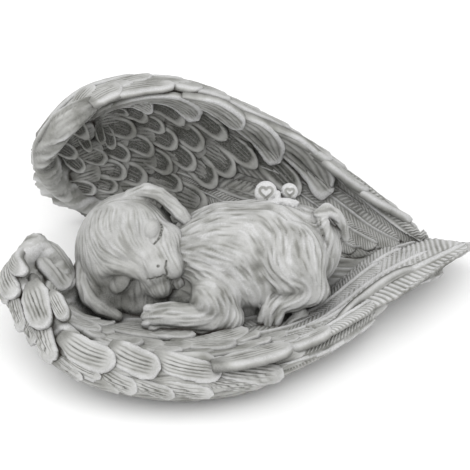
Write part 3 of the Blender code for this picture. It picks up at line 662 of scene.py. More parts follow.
coatTree = featherCoatTree()
nets = {"farIn": farInside, "farOut": farOutside, "nearIn": nearInside, "nearOut": nearOutside}
faceSides = {"farIn": -1, "farOut": 1, "nearIn": 1, "nearOut": -1}
sheets = {key: sheetObject(key + "Sheet", net, faceSides[key]) for key, net in nets.items()}


def raisedOn(sheet, column, row, lift):  # points on a wing face, lifted off it
    net, step = nets[sheet], 0.02
    along = onNet(net, column + step, row) - onNet(net, column - step, row)
    down = onNet(net, column, row + step) - onNet(net, column, row - step)
    normal = np.cross(along, down) * faceSides[sheet]
    return onNet(net, column, row) + lift * normal / np.linalg.norm(normal, axis=1)[:, None]


def placeOn(sheet, within, across, up, lift):  # column and row of the spot that the camera sees there
    c0, c1, r0, r1 = within
    reachC, reachR = (c1 - c0) / 2, (r1 - r0) / 2
    middle = np.array((c0 + reachC, r0 + reachR))
    for steps in (61, 15, 15):
        share = np.linspace(-1, 1, steps)
        c, r = np.meshgrid(share * reachC, share * reachR, indexing="ij")
        c, r = np.clip(middle[0] + c.ravel(), c0, c1), np.clip(middle[1] + r.ravel(), r0, r1)
        spots = raisedOn(sheet, c, r, lift)
        facing = (raisedOn(sheet, c, r, lift + 1.0) - spots) @ seenAxes[2]
        away = np.hypot(*(inPicture(spots) - (across, up)).T) + 5.0 * smoothStep(0.12, -0.1, facing)
        best = int(np.argmin(away))
        middle = np.array((c[best], r[best]))
        reachC, reachR = reachC / 20, reachR / 20
    return middle, away[best]


# One feather's layout from its free end, heading, length and width in the picture, its stand-off and its arch
def placedFeather(coat, tipX, tipY, heading, length, width, off, bend=0.0):
    sheet, within, pixel, rise = coat["sheet"], coat["within"], sight["pixel"], coat.get("rootRise", 0.25)
    tip = np.array(((tipX - sight["middle"][0]) * pixel, (sight["middle"][1] - tipY) * pixel))
    way = np.array((math.cos(math.radians(heading)), math.sin(math.radians(heading))))
    end, missed = placeOn(sheet, within, *tip, off + 1.0)
    start, _ = placeOn(sheet, within, *(tip - way * length * pixel * 1.2), rise * off + 1.0)
    run, asides, spreads = end - start, [], []
    for spot, lift in ((start, rise * off + 1.0), (end, off + 1.0)):
        c, r = spot[0] + np.array((0, 0.04, 0)), spot[1] + np.array((0, 0, 0.04))
        here = raisedOn(sheet, c, r, lift)
        slopes = (here[1:] - here[0]) / 0.04
        lean = slopes @ (run @ slopes)
        aside = np.array((-lean[1], lean[0]))
        aside /= np.linalg.norm(aside @ slopes)
        shown = inPicture(np.array((here[0], here[0] + aside @ slopes)))
        asides.append(aside)
        spreads.append(float((shown[1] - shown[0]) @ (-way[1], way[0])))
    if abs(spreads[0]) < 0.5 or spreads[0] * spreads[1] < 0:
        spreads[0] = spreads[1]
    hand = 1.0 if spreads[1] > 0 else -1.0
    shares = [min(1.2, max(coat.get("least", 0.5), abs(spread))) for spread in spreads]
    asides = [tuple(aside / share) + (0.0,) for aside, share in zip(asides, shares)]
    steps = onNet(nets[sheet], np.linspace(start[0], end[0], 9), np.linspace(start[1], end[1], 9))
    real = np.linalg.norm(np.diff(steps, axis=0), axis=1).sum()
    if missed > 1.5:
        print("  far from its place by", round(float(missed), 1), "mm:", (tipX, tipY))
    size = (real, width * pixel / 2, 1.0)
    return (start[0], start[1], off), (run[0], run[1], 0.0), asides[0], asides[1], size, bend * hand


def featherCoat(name, coat):
    net = nets[coat["sheet"]]
    sheet, (startC, spanC, startR, spanR) = sheets[coat["sheet"]]
    rng = np.random.default_rng(coat.get("seed", 0))
    layout = [placedFeather(coat, *values) for values in coat.get("placed", ())]
    for c0, c1, r0, r1, count, l0, l1, w0, w1, turn, off in coat.get("rows", ()):
        for k in range(count):
            f = min(1.05, max(-0.05, (k + 0.5 * rng.uniform(-0.25, 0.25)) / max(1, count - 1)))
            column, row = c0 + (c1 - c0) * f, r0 + (r1 - r0) * f + rng.uniform(-0.05, 0.05)
            here = onNet(net, [column, column + 0.05, column], [row, row, row + 0.05])
            gaugeC = max(6.0, np.linalg.norm(here[1] - here[0]) / 0.05)
            gaugeR = max(1.5, np.linalg.norm(here[2] - here[0]) / 0.05)
            way = math.radians(turn + rng.uniform(-coat["jitter"], coat["jitter"]))
            length, width = (l0 + (l1 - l0) * f) * rng.uniform(0.94, 1.06), w0 + (w1 - w0) * f
            run = (length * math.cos(way) / gaugeC, length * math.sin(way) / gaugeR, 0.0)
            aside = (-math.sin(way) / gaugeC, math.cos(way) / gaugeR, 0.0)
            layout.append(((column, row, off), run, aside, aside, (length, width / 2, 1.0), 0.0))
    mesh = meshFrom(name, np.zeros((len(layout), 3)), [])
    keys = ("anchor", "run", "asideRoot", "asideTip", "size", "bend")
    for key, values in zip(keys, zip(*layout)):
        kind, field = ("FLOAT", "value") if key == "bend" else ("FLOAT_VECTOR", "vector")
        mesh.attributes.new(key, kind, "POINT").data.foreach_set(field, np.array(values, np.float32).ravel())
    obj = objectFrom(name, mesh)
    modifier = obj.modifiers.new("feathers", "NODES")
    modifier.node_group = coatTree
    sockets = {item.name: item.identifier for item in coatTree.interface.items_tree if item.in_out == "INPUT"}
    values = {
        "Blade": blades[coat["blade"]], "Sheet": sheet,
        "Map start": (startC, startR, 0.0), "Map span": (spanC, spanR, 1.0),
        "Turned over": faceSides[coat["sheet"]] < 0, "Root rise": coat.get("rootRise", 0.25),
        "Lumps": coat["lumps"], "Finish": featherResin,
    }
    for key, value in values.items():
        modifier[sockets[key]] = value
    graph = bpy.context.evaluated_depsgraph_get()
    result = bpy.data.meshes.new_from_object(obj.evaluated_get(graph))
    obj.modifiers.clear()
    obj.data = result
    for key in keys + ("along",):
        if key in result.attributes:
            result.attributes.remove(result.attributes[key])
    washAndShade = np.empty(len(result.vertices), np.float32)
    result.attributes["washAndShade"].data.foreach_get("value", washAndShade)
    # Painted shade from the coat's dark, heavier towards the left and weaker low at the far-left wrist; a
    # negative dark paints the coat lighter, as painted light.
    places = vertexArray(result)
    wrist = smoothStep(46, 24, places[:, 2]) * smoothStep(-40, -64, places[:, 0])
    deep = smoothStep(40, -20, places[:, 0]) * (1 - 0.8 * wrist)
    setFloats(result, "washAndShade", np.clip(washAndShade + coat.get("dark", 0.0) * (0.35 + 0.65 * deep), 0, 1))
    withinHeight(result)
    keep(obj, featherResin)


# Each placed feather: free end in the picture's pixels, heading, length and width there, stand-off in mm and,
# if it has one, arch in mm. Each row: columns from and to, rows from and to, count, length from and to, width
# from and to, turn, stand-off.
# A coat's dark adds painted shade to its feathers, as in the hollow and under other feathers; a negative dark
# paints them lighter.
coats = {
    "farScallops": {  # small scallops in the hollow
        "sheet": "farIn", "blade": "scallop", "lumps": 0.9, "dark": 0.24, "within": (-0.3, 5, -0.3, 3.9),
        "placed": (
            (129, 115, -5, 24, 8, 4.2, 1), (148, 122, -20, 32, 15, 4.4, 1),
            (184, 126, -30, 42, 17, 4.6, 1.5), (227, 140, -35, 46, 21, 4.6, 1.5),
            (257, 168, -40, 46, 23, 4.4, 1.5), (300, 195, -45, 54, 25, 3.6, 1),
            (136, 136, -15, 30, 21, 4, 1), (165, 132, -20, 28, 16, 4, 1),
            (177, 148, -25, 32, 21, 4.2, 1), (203, 150, -35, 34, 23, 4, 1),
            (235, 175, -40, 38, 25, 3.8, 1), (113, 150, -70, 22, 13, 3.8), (103, 145, -75, 18, 9, 3.8),
            (154, 155, -25, 30, 19, 3.6, 1), (195, 170, -35, 34, 21, 3.6, 1),
            (216, 187, -45, 38, 25, 3.4, 1), (130, 160, -25, 26, 17, 3.4, 0.5),
            (172, 172, -30, 32, 21, 3.2, 1), (182, 190, -25, 32, 19, 2.9, 1),
            (127, 176, -10, 30, 21, 3, 0.5), (147, 182, -20, 32, 23, 2.8, 0.5),
            (207, 208, -20, 40, 30, 2.6, 1), (89, 140, -60, 20, 13, 3.4), (78, 158, -30, 22, 15, 3),
            (91, 152, -60, 20, 11, 3.2), (85, 172, -40, 22, 15, 2.8), (107, 163, -20, 26, 17, 3),
            (118, 190, -15, 28, 17, 2.6), (97, 192, -10, 28, 15, 2.4),
        ),
    },
    "farUnderScallops": {  # scallops that show between those
        "sheet": "farIn", "blade": "plain", "seed": 7, "jitter": 5, "lumps": 0.9, "dark": 0.36,
        "rows": (
            (0.4, 1.75, 3.35, 3.3, 5, 14, 17, 11, 12, 8, 1.4),
            (0.3, 1.95, 2.8, 2.7, 5, 15, 19, 11, 13, 8, 1.4),
            (0.4, 2.2, 2.2, 2.05, 6, 16, 21, 11, 13, 8, 1.5),
            (0.35, 2.5, 1.6, 1.45, 6, 17, 23, 11, 13, 8, 1.6),
            (0.55, 2.85, 1, 0.8, 6, 19, 28, 11, 13, 8, 1.8),
            (0.55, 3.45, 0.3, 0.25, 5, 38, 44, 13, 14, 8, 2.2),
        ),
    },
    "farRimFeathers": {  # long arched feathers under the rim
        "sheet": "farIn", "blade": "rim", "lumps": 0.8, "dark": -0.08, "rootRise": 0.65,
        "within": (-0.3, 5.5, -0.12, 3.6),
        "placed": (
            (153, 112, -4, 53, 18, 4.6, 4.5), (199, 120, -16, 92, 22, 5.4, 5),
            (242, 130, -34, 63, 21, 5.8, 3), (280, 163, -46, 66, 25, 5.4, 3.5),
            (333, 192, -42, 92, 30, 4.8, 4),
        ),
    },
    "farFlights": {  # flight feathers towards the tip
        "sheet": "farIn", "blade": "flight", "seed": 5, "jitter": 2, "lumps": 0.6, "dark": 0.16,
        "rows": (
            (1.9, 4.2, 3.7, 3.6, 3, 70, 60, 17, 15, 2, 0.8),
            (1.7, 4.1, 2.9, 2.8, 3, 74, 62, 17, 15, 0, 1),
            (1.8, 4, 2.1, 2, 3, 76, 62, 17, 15, -2, 1.2),
            (2, 4, 1.3, 1.2, 3, 76, 62, 17, 15, -3, 1.4),
        ),
    },
    "farLong": {  # the longest flights, to the far tip
        "sheet": "farIn", "blade": "flight", "lumps": 0.6, "within": (1, 6.3, -0.1, 3.9),
        "placed": (
            (427, 247, -38, 118, 20, 3, 1.5), (400, 241, -34, 112, 18, 2.8, 1.5),
            (378, 243, -33, 106, 18, 2.5, 1), (356, 248, -32, 100, 17, 2.2, 1),
            (336, 254, -31, 96, 17, 1.9, 1), (262, 217, -22, 80, 20, 2.4, 1),
        ),
    },
    "farTips": {  # feathers over the rim, seen from outside
        "sheet": "farOut", "blade": "covert", "lumps": 0.6, "rootRise": 0.4,
        "within": (-0.2, 5.9, -0.5, 1.4),
        "placed": (
            (94, 84, 52, 30, 13, 2.4), (122, 82, 32, 32, 14, 2.6), (152, 73, 15, 40, 14, 2.6),
            (175, 79, 10, 60, 15, 2.4), (203, 88, -12, 50, 15, 2.6), (230, 100, -18, 57, 16, 2.6),
            (262, 112, -20, 55, 16, 2.6), (292, 126, -24, 60, 17, 2.8), (332, 160, -34, 60, 17, 2.6),
            (369, 191, -33, 55, 16, 2.6), (396, 214, -34, 50, 14, 2),
        ),
    },
    "farBackFeathers": {  # the outside, away from the viewer
        "sheet": "farOut", "blade": "plain", "seed": 3, "jitter": 3, "lumps": 0.8,
        "rows": (
            (1.2, 4.6, 3, 2.8, 5, 52, 48, 16, 15, 0, 2),
            (0.6, 4.4, 2.1, 1.9, 5, 50, 48, 16, 15, -3, 2.2),
            (0.1, 4.2, 1.2, 1, 6, 46, 46, 16, 14, -6, 2.4),
            (0.2, 4.5, 0.4, 0.25, 7, 34, 42, 14, 13, -10, 2.6),
        ),
    },
    "nearFlights": {  # flights behind the rump
        "sheet": "nearIn", "blade": "flight", "seed": 9, "jitter": 2, "lumps": 0.6,
        "rows": (
            (4.3, 6.2, 3.3, 3.2, 2, 62, 52, 14, 14, 2, 0.8),
            (4.1, 6, 2.4, 2.3, 2, 66, 56, 16, 15, 0, 1),
            (3.9, 5.8, 1.5, 1.4, 2, 70, 60, 16, 15, 0, 1.2),
        ),
    },
    "nearEnd": {  # the sweep to the near tip
        "sheet": "nearIn", "blade": "flight", "lumps": 0.5, "dark": -0.4, "rootRise": 0.5, "least": 0.65,
        "within": (2.5, 8.6, -0.8, 3.4),
        "placed": (
            (468, 248, 26, 150, 26, 4), (430, 250, 30, 140, 24, 3.4), (402, 248, 33, 110, 22, 2.8),
            (378, 262, 33, 84, 20, 3.8), (372, 300, 24, 90, 18, 3),
        ),
    },
    "nearUnder": {  # plain feathers of the near bowl
        "sheet": "nearIn", "blade": "plain", "seed": 13, "jitter": 4, "lumps": 0.7, "dark": 0.12,
        "rows": (
            (0.7, 2.2, 2.7, 2.7, 3, 16, 19, 10, 10, 6, 1.2), (0.3, 4.7, 1.6, 1.7, 7, 20, 28, 9, 10, 4, 1.6),
            (0.7, 4.4, 0.8, 1, 5, 26, 32, 9, 9, 2, 1.6),
        ),
    },
    "nearStrips": {  # narrow feathers along the near lip
        "sheet": "nearIn", "blade": "covert", "lumps": 0.8, "dark": 0.04, "within": (-0.3, 6.5, -0.4, 4),
        "placed": (
            (73, 283, -50, 43, 30, 2.6), (99, 326, -15, 34, 11, 2.8), (144, 342, -8, 38, 11, 3),
            (183, 350, -8, 44, 10, 2.8), (196, 334, -5, 47, 10, 2.4), (237, 343, -3, 54, 13, 3),
            (248, 328, 15, 60, 15, 2.6), (290, 345, 13, 67, 17, 3.2), (260, 332, 20, 24, 7, 3.2),
            (272, 338, 15, 26, 7, 3.2), (300, 336, 12, 34, 9, 2.6), (330, 326, 20, 50, 13, 2.8),
        ),
    },
    "nearCoverts": {  # big rounded feathers of the outside
        "sheet": "nearOut", "blade": "covert", "lumps": 1, "least": 0.85,
        "within": (-0.2, 7.4, -0.6, 2.9),
        "placed": (
            (7, 303, -97, 34, 13, 2.2), (16, 296, -104, 36, 22, 3.4), (30, 268, -80, 22, 16, 3.6),
            (44, 328, -72, 40, 28, 4.4), (65, 319, -62, 26, 15, 4.2), (51, 363, -76, 38, 22, 3.8),
            (23, 331, -74, 32, 14, 2.4), (35, 345, -70, 30, 13, 2.8), (116, 362, -26, 52, 28, 3.2),
            (161, 369, -24, 48, 28, 3.2), (222, 373, -14, 60, 25, 3.2), (284, 378, -11, 68, 22, 3),
            (83, 379, -36, 30, 12, 1.8), (101, 378, -30, 34, 14, 2.2), (137, 392, -30, 38, 17, 1.8),
            (175, 397, -20, 42, 15, 1.8), (214, 395, -10, 52, 16, 1.8), (262, 386, -6, 52, 12, 1.6),
        ),
    },
    "nearSweep": {  # flights below the near lip
        "sheet": "nearOut", "blade": "flight", "lumps": 0.5, "within": (3, 8.6, -0.5, 2.9),
        "placed": (
            (378, 322, 22, 100, 22, 2.4), (445, 276, 20, 60, 12, 1.6),
        ),
    },
    "nearUnderCoverts": {  # the outside's lower rows
        "sheet": "nearOut", "blade": "plain", "seed": 17, "jitter": 4, "lumps": 0.8, "dark": 0.1,
        "rows": (
            (2.6, 5.6, 2.05, 2, 5, 32, 40, 14, 13, 0, 0.6),
            (2.6, 5.8, 1.25, 1.2, 5, 36, 44, 15, 14, -3, 0.8),
            (2.6, 6.3, 0.4, 0.3, 5, 36, 54, 16, 14, -5, 1),
        ),
    },
}
for name, coat in coats.items():
    featherCoat(name, coat)
print("feathers laid")

# The puppy, built up from balls and limbs like clay
headPose = {
    "centre": (-45.0, 4.0, 26.5), "side": (0.464, 0.469, 0.752), "ahead": (0.360, -0.878, 0.306),
    "up": (-0.803, -0.129, 0.576),
}
headAxes = np.array((headPose["side"], headPose["ahead"], headPose["up"]))
puppy = {  # voxel size, then width and height of the fur strokes and of the broader locks, all in mm
    "body": {"voxel": 0.5, "fur": (1.25, 0.26), "locks": (3.2, 0.22), "seed": 21},
    "head": {"voxel": 0.37, "fur": (1.1, 0.15), "locks": (3.0, 0.08), "seed": 31},
    "reach": 5.0,
}


def headAt(side, ahead, up):
    return np.array(headPose["centre"]) + np.array((side, ahead, up), float) @ headAxes


def ball(centre, radii, blend, axes=np.eye(3)):
    return "ball", np.array(centre, float), np.array(radii, float) * np.ones(3), axes, blend


def limb(a, b, ra, rb, blend):
    return "limb", np.array(a, float), np.array(b, float), (ra, rb), blend


def chain(path, radii, blend):
    return [limb(a, b, ra, rb, blend) for a, b, ra, rb in zip(path, path[1:], radii, radii[1:])]


def seenChain(path, radii, blend):  # a chain whose joints are given as the camera sees them
    return chain([seen(*place) for place in path], radii, blend)


def shapeDistance(points, shape):
    kind, a, b, extra, _ = shape
    if kind == "ball":
        p = (points - a) @ extra.T
        k0 = np.linalg.norm(p / b, axis=1)
        return k0 * (k0 - 1) / np.maximum(np.linalg.norm(p / b**2, axis=1), 1e-9)
    run = b - a
    h = np.clip((points - a) @ run / (run @ run), 0, 1)
    return np.linalg.norm(points - a - h[:, None] * run, axis=1) - (extra[0] + (extra[1] - extra[0]) * h)


def blendDistance(points, shapes):  # a negative blend carves the shape away
    total = np.full(len(points), 1e3)
    for shape in shapes:
        d, k = shapeDistance(points, shape), shape[4]
        h = np.clip(0.5 + 0.5 * (total - d if k > 0 else total + d) / k, 0, 1)
        total = total + ((d if k > 0 else -d) - total) * h - k * h * (1 - h)
    return total


def touch(shapes, across, up, inset=0.0):  # where the line of sight meets the shapes
    near = 62.0
    for _ in range(90):
        gap = float(blendDistance(seen(across, up, near)[None], shapes)[0])
        if gap < 0.03 or near < -20:
            break
        near -= max(0.05, 0.85 * gap)
    return seen(across, up, near - inset)


def traced(shapes, path, inset):
    return [touch(shapes, across, up, inset) for across, up in path]


def skinOf(name, shapes, size):
    rough = []
    for kind, a, b, extra, blend in shapes:
        if blend < 0:
            continue
        if kind == "ball":
            rough.append(ballPart(a, b + 0.3 * blend, extra))
        else:
            radii = [r + 0.3 * blend for r in (extra[0], sum(extra) / 2, extra[1])]
            rough.append(tubePart([a, (a + b) / 2, b], radii, 20))
    mesh = voxelSkin(name, rough, size)
    tetra = np.array(((1, 1, 1), (1, -1, -1), (-1, 1, -1), (-1, -1, 1))) * 0.05
    for rounds in (4, 2):  # on to the blended surface, evened out by new voxels, and on to it again
        points = vertexArray(mesh)
        for _ in range(rounds):
            slope = sum(t * blendDistance(points + t, shapes)[:, None] for t in tetra) / (4 * 0.05**2)
            d = blendDistance(points, shapes)
            points -= (np.clip(d / np.maximum((slope**2).sum(1), 0.25), -1.2, 1.2))[:, None] * slope
        setVertices(mesh, points)
        if rounds == 4:
            faces = [tuple(face.vertices) for face in mesh.polygons]
            mesh = voxelSkin(name, [(points, faces)], size)
    return mesh


bodyShapes = [
    limb((-24, 1, 23), (-4, -1, 27), 14.5, 20, 4),
    limb((-4, -1, 27), (14, 1, 28.5), 20, 19.5, 5),
    limb((14, 1, 28.5), (27, 3, 26.5), 19.5, 18, 5),
    ball((8, -11, 20), (17, 13, 14), 5),
    ball((-6, -15, 20), (13, 12, 14), 3),
    ball(seen(24.1, 17.6, 28.5), (14.8, 16.5, 13), 0.8, seenAxes),
    limb(seen(-9.9, 0.0, 32), seen(-2.6, -7.7, 31), 9.0, 6.3, 2.5),
    ball(seen(-20.0, 2.0, 19.0), (9, 8, 9), 2.0), ball(seen(4.0, -4.5, 19.0), (9, 6, 7), 2.0),
]
foreleg = ((-2.6, -8.0, 31), (-15.0, -8.4, 32.5), (-27.1, -7.0, 33), (-33.1, -7.2, 32.5))
foreToes = (
    ((-36.6, -4.2, 33.5), -20), ((-37.8, -7.0, 33.8), 0), ((-37.2, -9.8, 33.5), 15),
    ((-34.6, -12.0, 33.5), 25),
)
hindLeg = ((31.5, 12.5, 31), (34.6, 3.6, 28), (25.8, -0.2, 28.5), (16.4, -2.2, 28.5))
hindToes = (
    ((13.3, -3.6, 30), (10.9, -8.8, 29)), ((15.9, -3.8, 30.5), (14.4, -10.4, 29.5)),
    ((19.3, -4.4, 30), (18.3, -9.8, 29)),
)
tail = (
    (39.1, 21.1, 26), (40.0, 26.7, 26.5), (37.8, 32.7, 26.5), (36.6, 36.3, 25.5), (39.4, 38.6, 24),
    (43.0, 36.8, 22), (46.0, 32.6, 19), (47.0, 26.7, 15),
)
bodyShapes += seenChain(foreleg, [6.3, 6.0, 5.6, 5.4], 1.0)
bodyShapes += [ball(seen(*place), (2.9, 2.2, 2.6), 0.5, leaning(lean)) for place, lean in foreToes]
bodyShapes += seenChain(hindLeg, [7.0, 5.6, 4.6, 4.4], 1.2)
bodyShapes += [limb(seen(*root), seen(*end), 2.3, 1.9, 0.5) for root, end in hindToes]
bodyShapes += seenChain(((23.2, -10.4, 27), (28.8, -6.0, 26)), [2.0, 2.7], 0.5)
bodyShapes += seenChain(tail, [1.8, 2.5, 2.8, 2.8, 2.7, 2.5, 2.3, 2.0], 0.6)
tailGroove = [(36.4, 35.0), (37.4, 29.5), (39.6, 24.0)]
bodyShapes += chain(traced(bodyShapes, tailGroove, 0.0), [0.35, 0.5, 0.35], -0.4)
crease = [(9.6, 20.5), (9.6, 14.6), (12.2, 8.6), (17.0, 4.6), (23.5, 2.6)]  # in front of the thigh

skull = [
    ball(headAt(-1, -1, 1), (23.5, 21, 20.5), 4, headAxes),
    ball(headAt(-1, 13, -6), (16, 10, 10.5), 5, headAxes),
    ball(headAt(0, 19, -6), (10.5, 8.5, 8.5), 3, headAxes),
]
headShapes = skull + [
    ball(touch(skull, -27.4, 15.3, 5.2), 6.4, 2.0),
    ball(touch(skull, -32.4, 5.8, 3.8), 5.4, 1.2),
    ball(touch(skull, -34.4, 13.6, 3.4), (4.8, 4.6, 4.6), 1.6, leaning(20)),
    ball(seen(-24.3, 7.6, 24.0), 3.6, 0.8),
    ball(touch(skull, -29.2, 24.5, 7.2), 8.2, 3.0),
    ball(touch(skull, -36.1, 29.9, -5.2), 6.6, -2.5),
    ball(touch(skull, -49.5, 6.2, -6.6), 9.6, -3.5),
]
brow = [(-57.5, 12.6), (-51.0, 14.4), (-45.0, 13.4), (-39.5, 10.8)]
headShapes += chain(traced(skull, brow, 2.6), [2.6, 3.2, 3.0, 2.4], 2.0)
headShapes += [
    ball(touch(skull, -35.9, 30.0, 2.2), (3.5, 4.8, 3.4), 0.8, leaning(-14)),
    ball(touch(skull, -48.8, 7.4, 2.9), (4.2, 5.6, 4.4), 1.6, leaning(-45)),
]
upperEar = (
    (-50.5, 38.5, 18), (-45.0, 44.4, 18.5), (-38.0, 47.0, 20), (-32.2, 45.4, 21.5), (-27.5, 41.3, 22.5),
    (-23.6, 37.0, 23), (-20.0, 33.4, 22.5),
)
lowerEar = (
    (-64.1, 21.5, 15), (-66.2, 14.2, 18), (-65.8, 6.9, 20.5), (-62.8, 0.9, 22.5), (-57.6, -3.4, 24),
    (-50.7, -6.9, 24),
)
headShapes += seenChain(upperEar, [2.6, 3.0, 3.1, 3.0, 3.0, 3.0, 2.6], 0.8)
headShapes += seenChain(((-46, 42.0, 12), (-38, 44.0, 12), (-28, 40.0, 15)), [4.0, 4.2, 3.6], 1.5)
headShapes += seenChain(lowerEar, [2.2, 2.8, 3.1, 3.2, 3.0, 2.4], 1.2)
headShapes += [
    ball(seen(-54.0, 1.0, 17.5), (7.5, 7.0, 7.0), 1.5), ball((-58, -6, 14), (8, 9, 8), 2.0),
    ball((-38, -10, 10), (15, 10, 7), 3.0),
]
# Lines cut into the face: how deep they start, radii, sharpness, and their way across and up the picture
faceLines = {
    "upperLid": (0.1, [0.3, 0.5, 0.52, 0.4], -0.3, [
        (-32.2, 33.7), (-31.3, 30.5), (-32.2, 27.3), (-34.8, 24.1),
    ]),
    "lowerLid": (0.1, [0.3, 0.45, 0.5, 0.45, 0.35], -0.3, [
        (-43.4, 9.0), (-44.9, 8.1), (-45.9, 6.0), (-47.3, 4.3), (-49.9, 2.8),
    ]),
    "mouth": (0.05, [0.35, 0.45, 0.5, 0.5, 0.45, 0.45, 0.4, 0.25], -0.35, [
        (-20.8, 18.3), (-21.3, 13.8), (-22.6, 10.1), (-24.9, 8.4), (-27.5, 8.6), (-30.8, 10.6), (-34.4, 9.5),
        (-37.8, 9.0),
    ]),
    "flew": (0.05, [0.45, 0.5, 0.5, 0.4], -0.35, [(-27.1, 7.6), (-26.4, 4.7), (-27.9, 1.9), (-31.4, 0.0)]),
    "philtrum": (0.0, [0.3, 0.4, 0.4], -0.3, [(-29.5, 16.8), (-29.9, 13.8), (-29.2, 11.0)]),
}
cuts = []
for inset, radii, blend, path in faceLines.values():
    cuts += chain(traced(headShapes, path, inset), radii, blend)
nostril = touch(headShapes, -33.1, 14.5, -0.5), touch(headShapes, -33.0, 14.7, 1.0)
headShapes += cuts + [limb(*nostril, 0.55, 0.45, -0.2)]

# Where the fur runs: across and up the picture, then the way it is combed
bodyComb = [
    (-12.9, 23.7, 1, -0.1), (-15, 16.3, 1, -0.15), (-15, 9.5, 1, -0.3), (-4.3, 25.8, 1, -0.25),
    (2.1, 20.6, 0.8, -0.5), (-4.3, 16.3, 0.9, -0.4), (4.3, 12.9, 0.6, -0.75), (-4.3, 8.6, 0.75, -0.6),
    (6.4, 4.3, 0.45, -0.9), (-8.6, 2.1, 0.6, -0.8), (0, 0, 0.5, -0.9), (-8.6, 33.5, 1, 0.45),
    (0, 36.5, 1, 0.3), (8.6, 38.7, 1, 0), (11.6, 33.5, 0.6, -0.8), (14.2, 25.8, 0.2, -1),
    (19.3, 32.2, 0.5, -1), (23.6, 25.8, 0.05, -1), (30.1, 23.6, -0.1, -1), (17.2, 19.3, 0.05, -1),
    (14.2, 12, 0.5, -0.85), (21.5, 6.9, 0.9, -0.45), (28, 5.6, 1, -0.3), (23.6, 16.3, 0.3, -1),
    (30.1, 12.9, 0.6, -0.8), (35.7, 6.4, 0.3, -1), (28, 0, -1, 0.1), (19.3, -0.9, -0.9, -0.4),
    (14.2, -7.7, -0.1, -1), (28, 36.5, 0.9, -0.3), (32.2, 32.2, 0.3, -1), (36.5, 1.3, -0.3, -1),
    (38.5, 15, 0, -1), (-23.6, -5.2, -1, 0.1), (-15, -10.7, -1, 0), (-32.2, -8.6, -1, -0.2),
    (-3, -9.5, -0.5, -1), (38.5, 26, 0.1, 1), (37.5, 33, -0.2, 1), (40, 38, 1, 0.1), (45, 34, 0.5, -1),
    (47, 28, 0.1, -1),
]
headComb = [
    (-55.9, 16.3, 1, -0.1), (-47, 17.5, 1, 0), (-45.2, 25.8, 0.6, -0.8), (-51.5, 36.5, -0.1, -1),
    (-52.5, 33.5, 0, -1), (-49.5, 25.8, 0.5, -0.85), (-44.3, 36.5, -0.2, -1), (-45.2, 30.1, 0.1, -1),
    (-42.1, 23.6, 0.5, -0.85), (-39.6, 32.3, 0, -1), (-38.3, 23.6, 0.5, -0.85), (-36.5, 19.3, 0.8, -0.5),
    (-27.1, 28, 0.1, -1), (-23.6, 23.6, 0.3, -1), (-28, 21.5, 0, -1), (-62.3, 23.7, 0.5, -0.8),
    (-64.5, 15, -0.3, -1), (-65.5, 5, 0.2, -1), (-60, -2.2, 0.8, -0.7), (-53, -6, 1, -0.35),
    (-43, 2.1, -0.2, -1), (-47, -1, -0.1, -1), (-40.8, -1, 0.2, -1), (-48, 43.5, 0.8, 0.6),
    (-38, 47.5, 1, 0.05), (-29, 42.5, 0.75, -0.7), (-22.5, 36, 0.7, -0.7), (-36, 11, 0.3, -1),
    (-31, 3, 0.4, -1), (-25.5, 14, 0.6, -0.8), (-57, 27, 0.7, -0.7), (-60, 10, 0, -1),
]


def furGuides(shapes, comb):
    places, ways = [], []
    for across, up, way, rise in comb:
        places.append(touch(shapes, across, up))
        ways.append(np.array((way, rise, 0.0)) @ seenAxes / math.hypot(way, rise))
    return np.array(places), np.array(ways)


def combed(points, guides):
    total = np.zeros_like(points)
    for place, way in zip(*guides):
        d2 = ((points - place) ** 2).sum(1)
        total += (np.exp(-d2 / (2 * puppy["reach"]**2)) + 1e-3 / (1 + d2))[:, None] * way
    return total / np.maximum(np.linalg.norm(total, axis=1), 1e-9)[:, None]


def paintedShadeAt(points, shadePatches):  # painted shade: place, radius and strength
    return sum(k * np.exp(-((points - place) ** 2).sum(1) / (2 * radius**2)) for place, radius, k in shadePatches)


# A furred piece. The fur fades out at each place and radius in smooth
def furred(name, shapes, look, comb, smooth, shadePatches):
    fur, locks = look["fur"], look["locks"]
    mesh = skinOf(name, shapes, look["voxel"])
    points, normals = vertexArray(mesh), vertexArray(mesh, "normal")
    lie = combed(points, furGuides(shapes, comb))
    fine = strokes(points, normals, lie, fur[0], 0.9, 9, look["seed"])
    broad = strokes(points, normals, lie, locks[0], 1.8, 6, look["seed"] + 1)
    strength = np.ones(len(points))
    for place, radius in smooth:
        strength *= smoothStep(0.45, 1.0, np.linalg.norm(points - place, axis=1) / radius)
    relief = fur[1] * np.tanh(1.3 * fine) + locks[1] * np.tanh(broad)
    points = points + normals * (strength * relief)[:, None]
    near = np.full(len(points), 10.0)
    for shape in shapes:
        if -0.5 < shape[4] < 0:
            near = np.minimum(near, shapeDistance(points, shape))
    slit = 1 - smoothStep(-0.15, 0.3, near)
    setVertices(mesh, points)
    valley = smoothStep(0.3, 2.0, -fine) * strength
    crest = smoothStep(0.3, 1.6, fine) * strength
    # Fur valleys and cut slits take the wash; the shade patches add painted shade.
    depth = 0.19 + 1.2 * fur[1] * valley - 0.5 * fur[1] * crest + 0.85 * slit + paintedShadeAt(points, shadePatches)
    setFloats(mesh, "washAndShade", np.clip(depth, 0, 1))
    withinHeight(mesh)
    keep(objectFrom(name, mesh), resin)


# Painted shade patches: where shade is painted, across and up the picture, how wide and how strong
# Painted shade below the head and in the crease in front of the thigh
bodyShadePatches = [(touch(bodyShapes, -19.0, 2.0), 4.5, 0.5)]
bodyShadePatches += [(touch(bodyShapes, across, up), 1.6, 0.32) for across, up in crease]
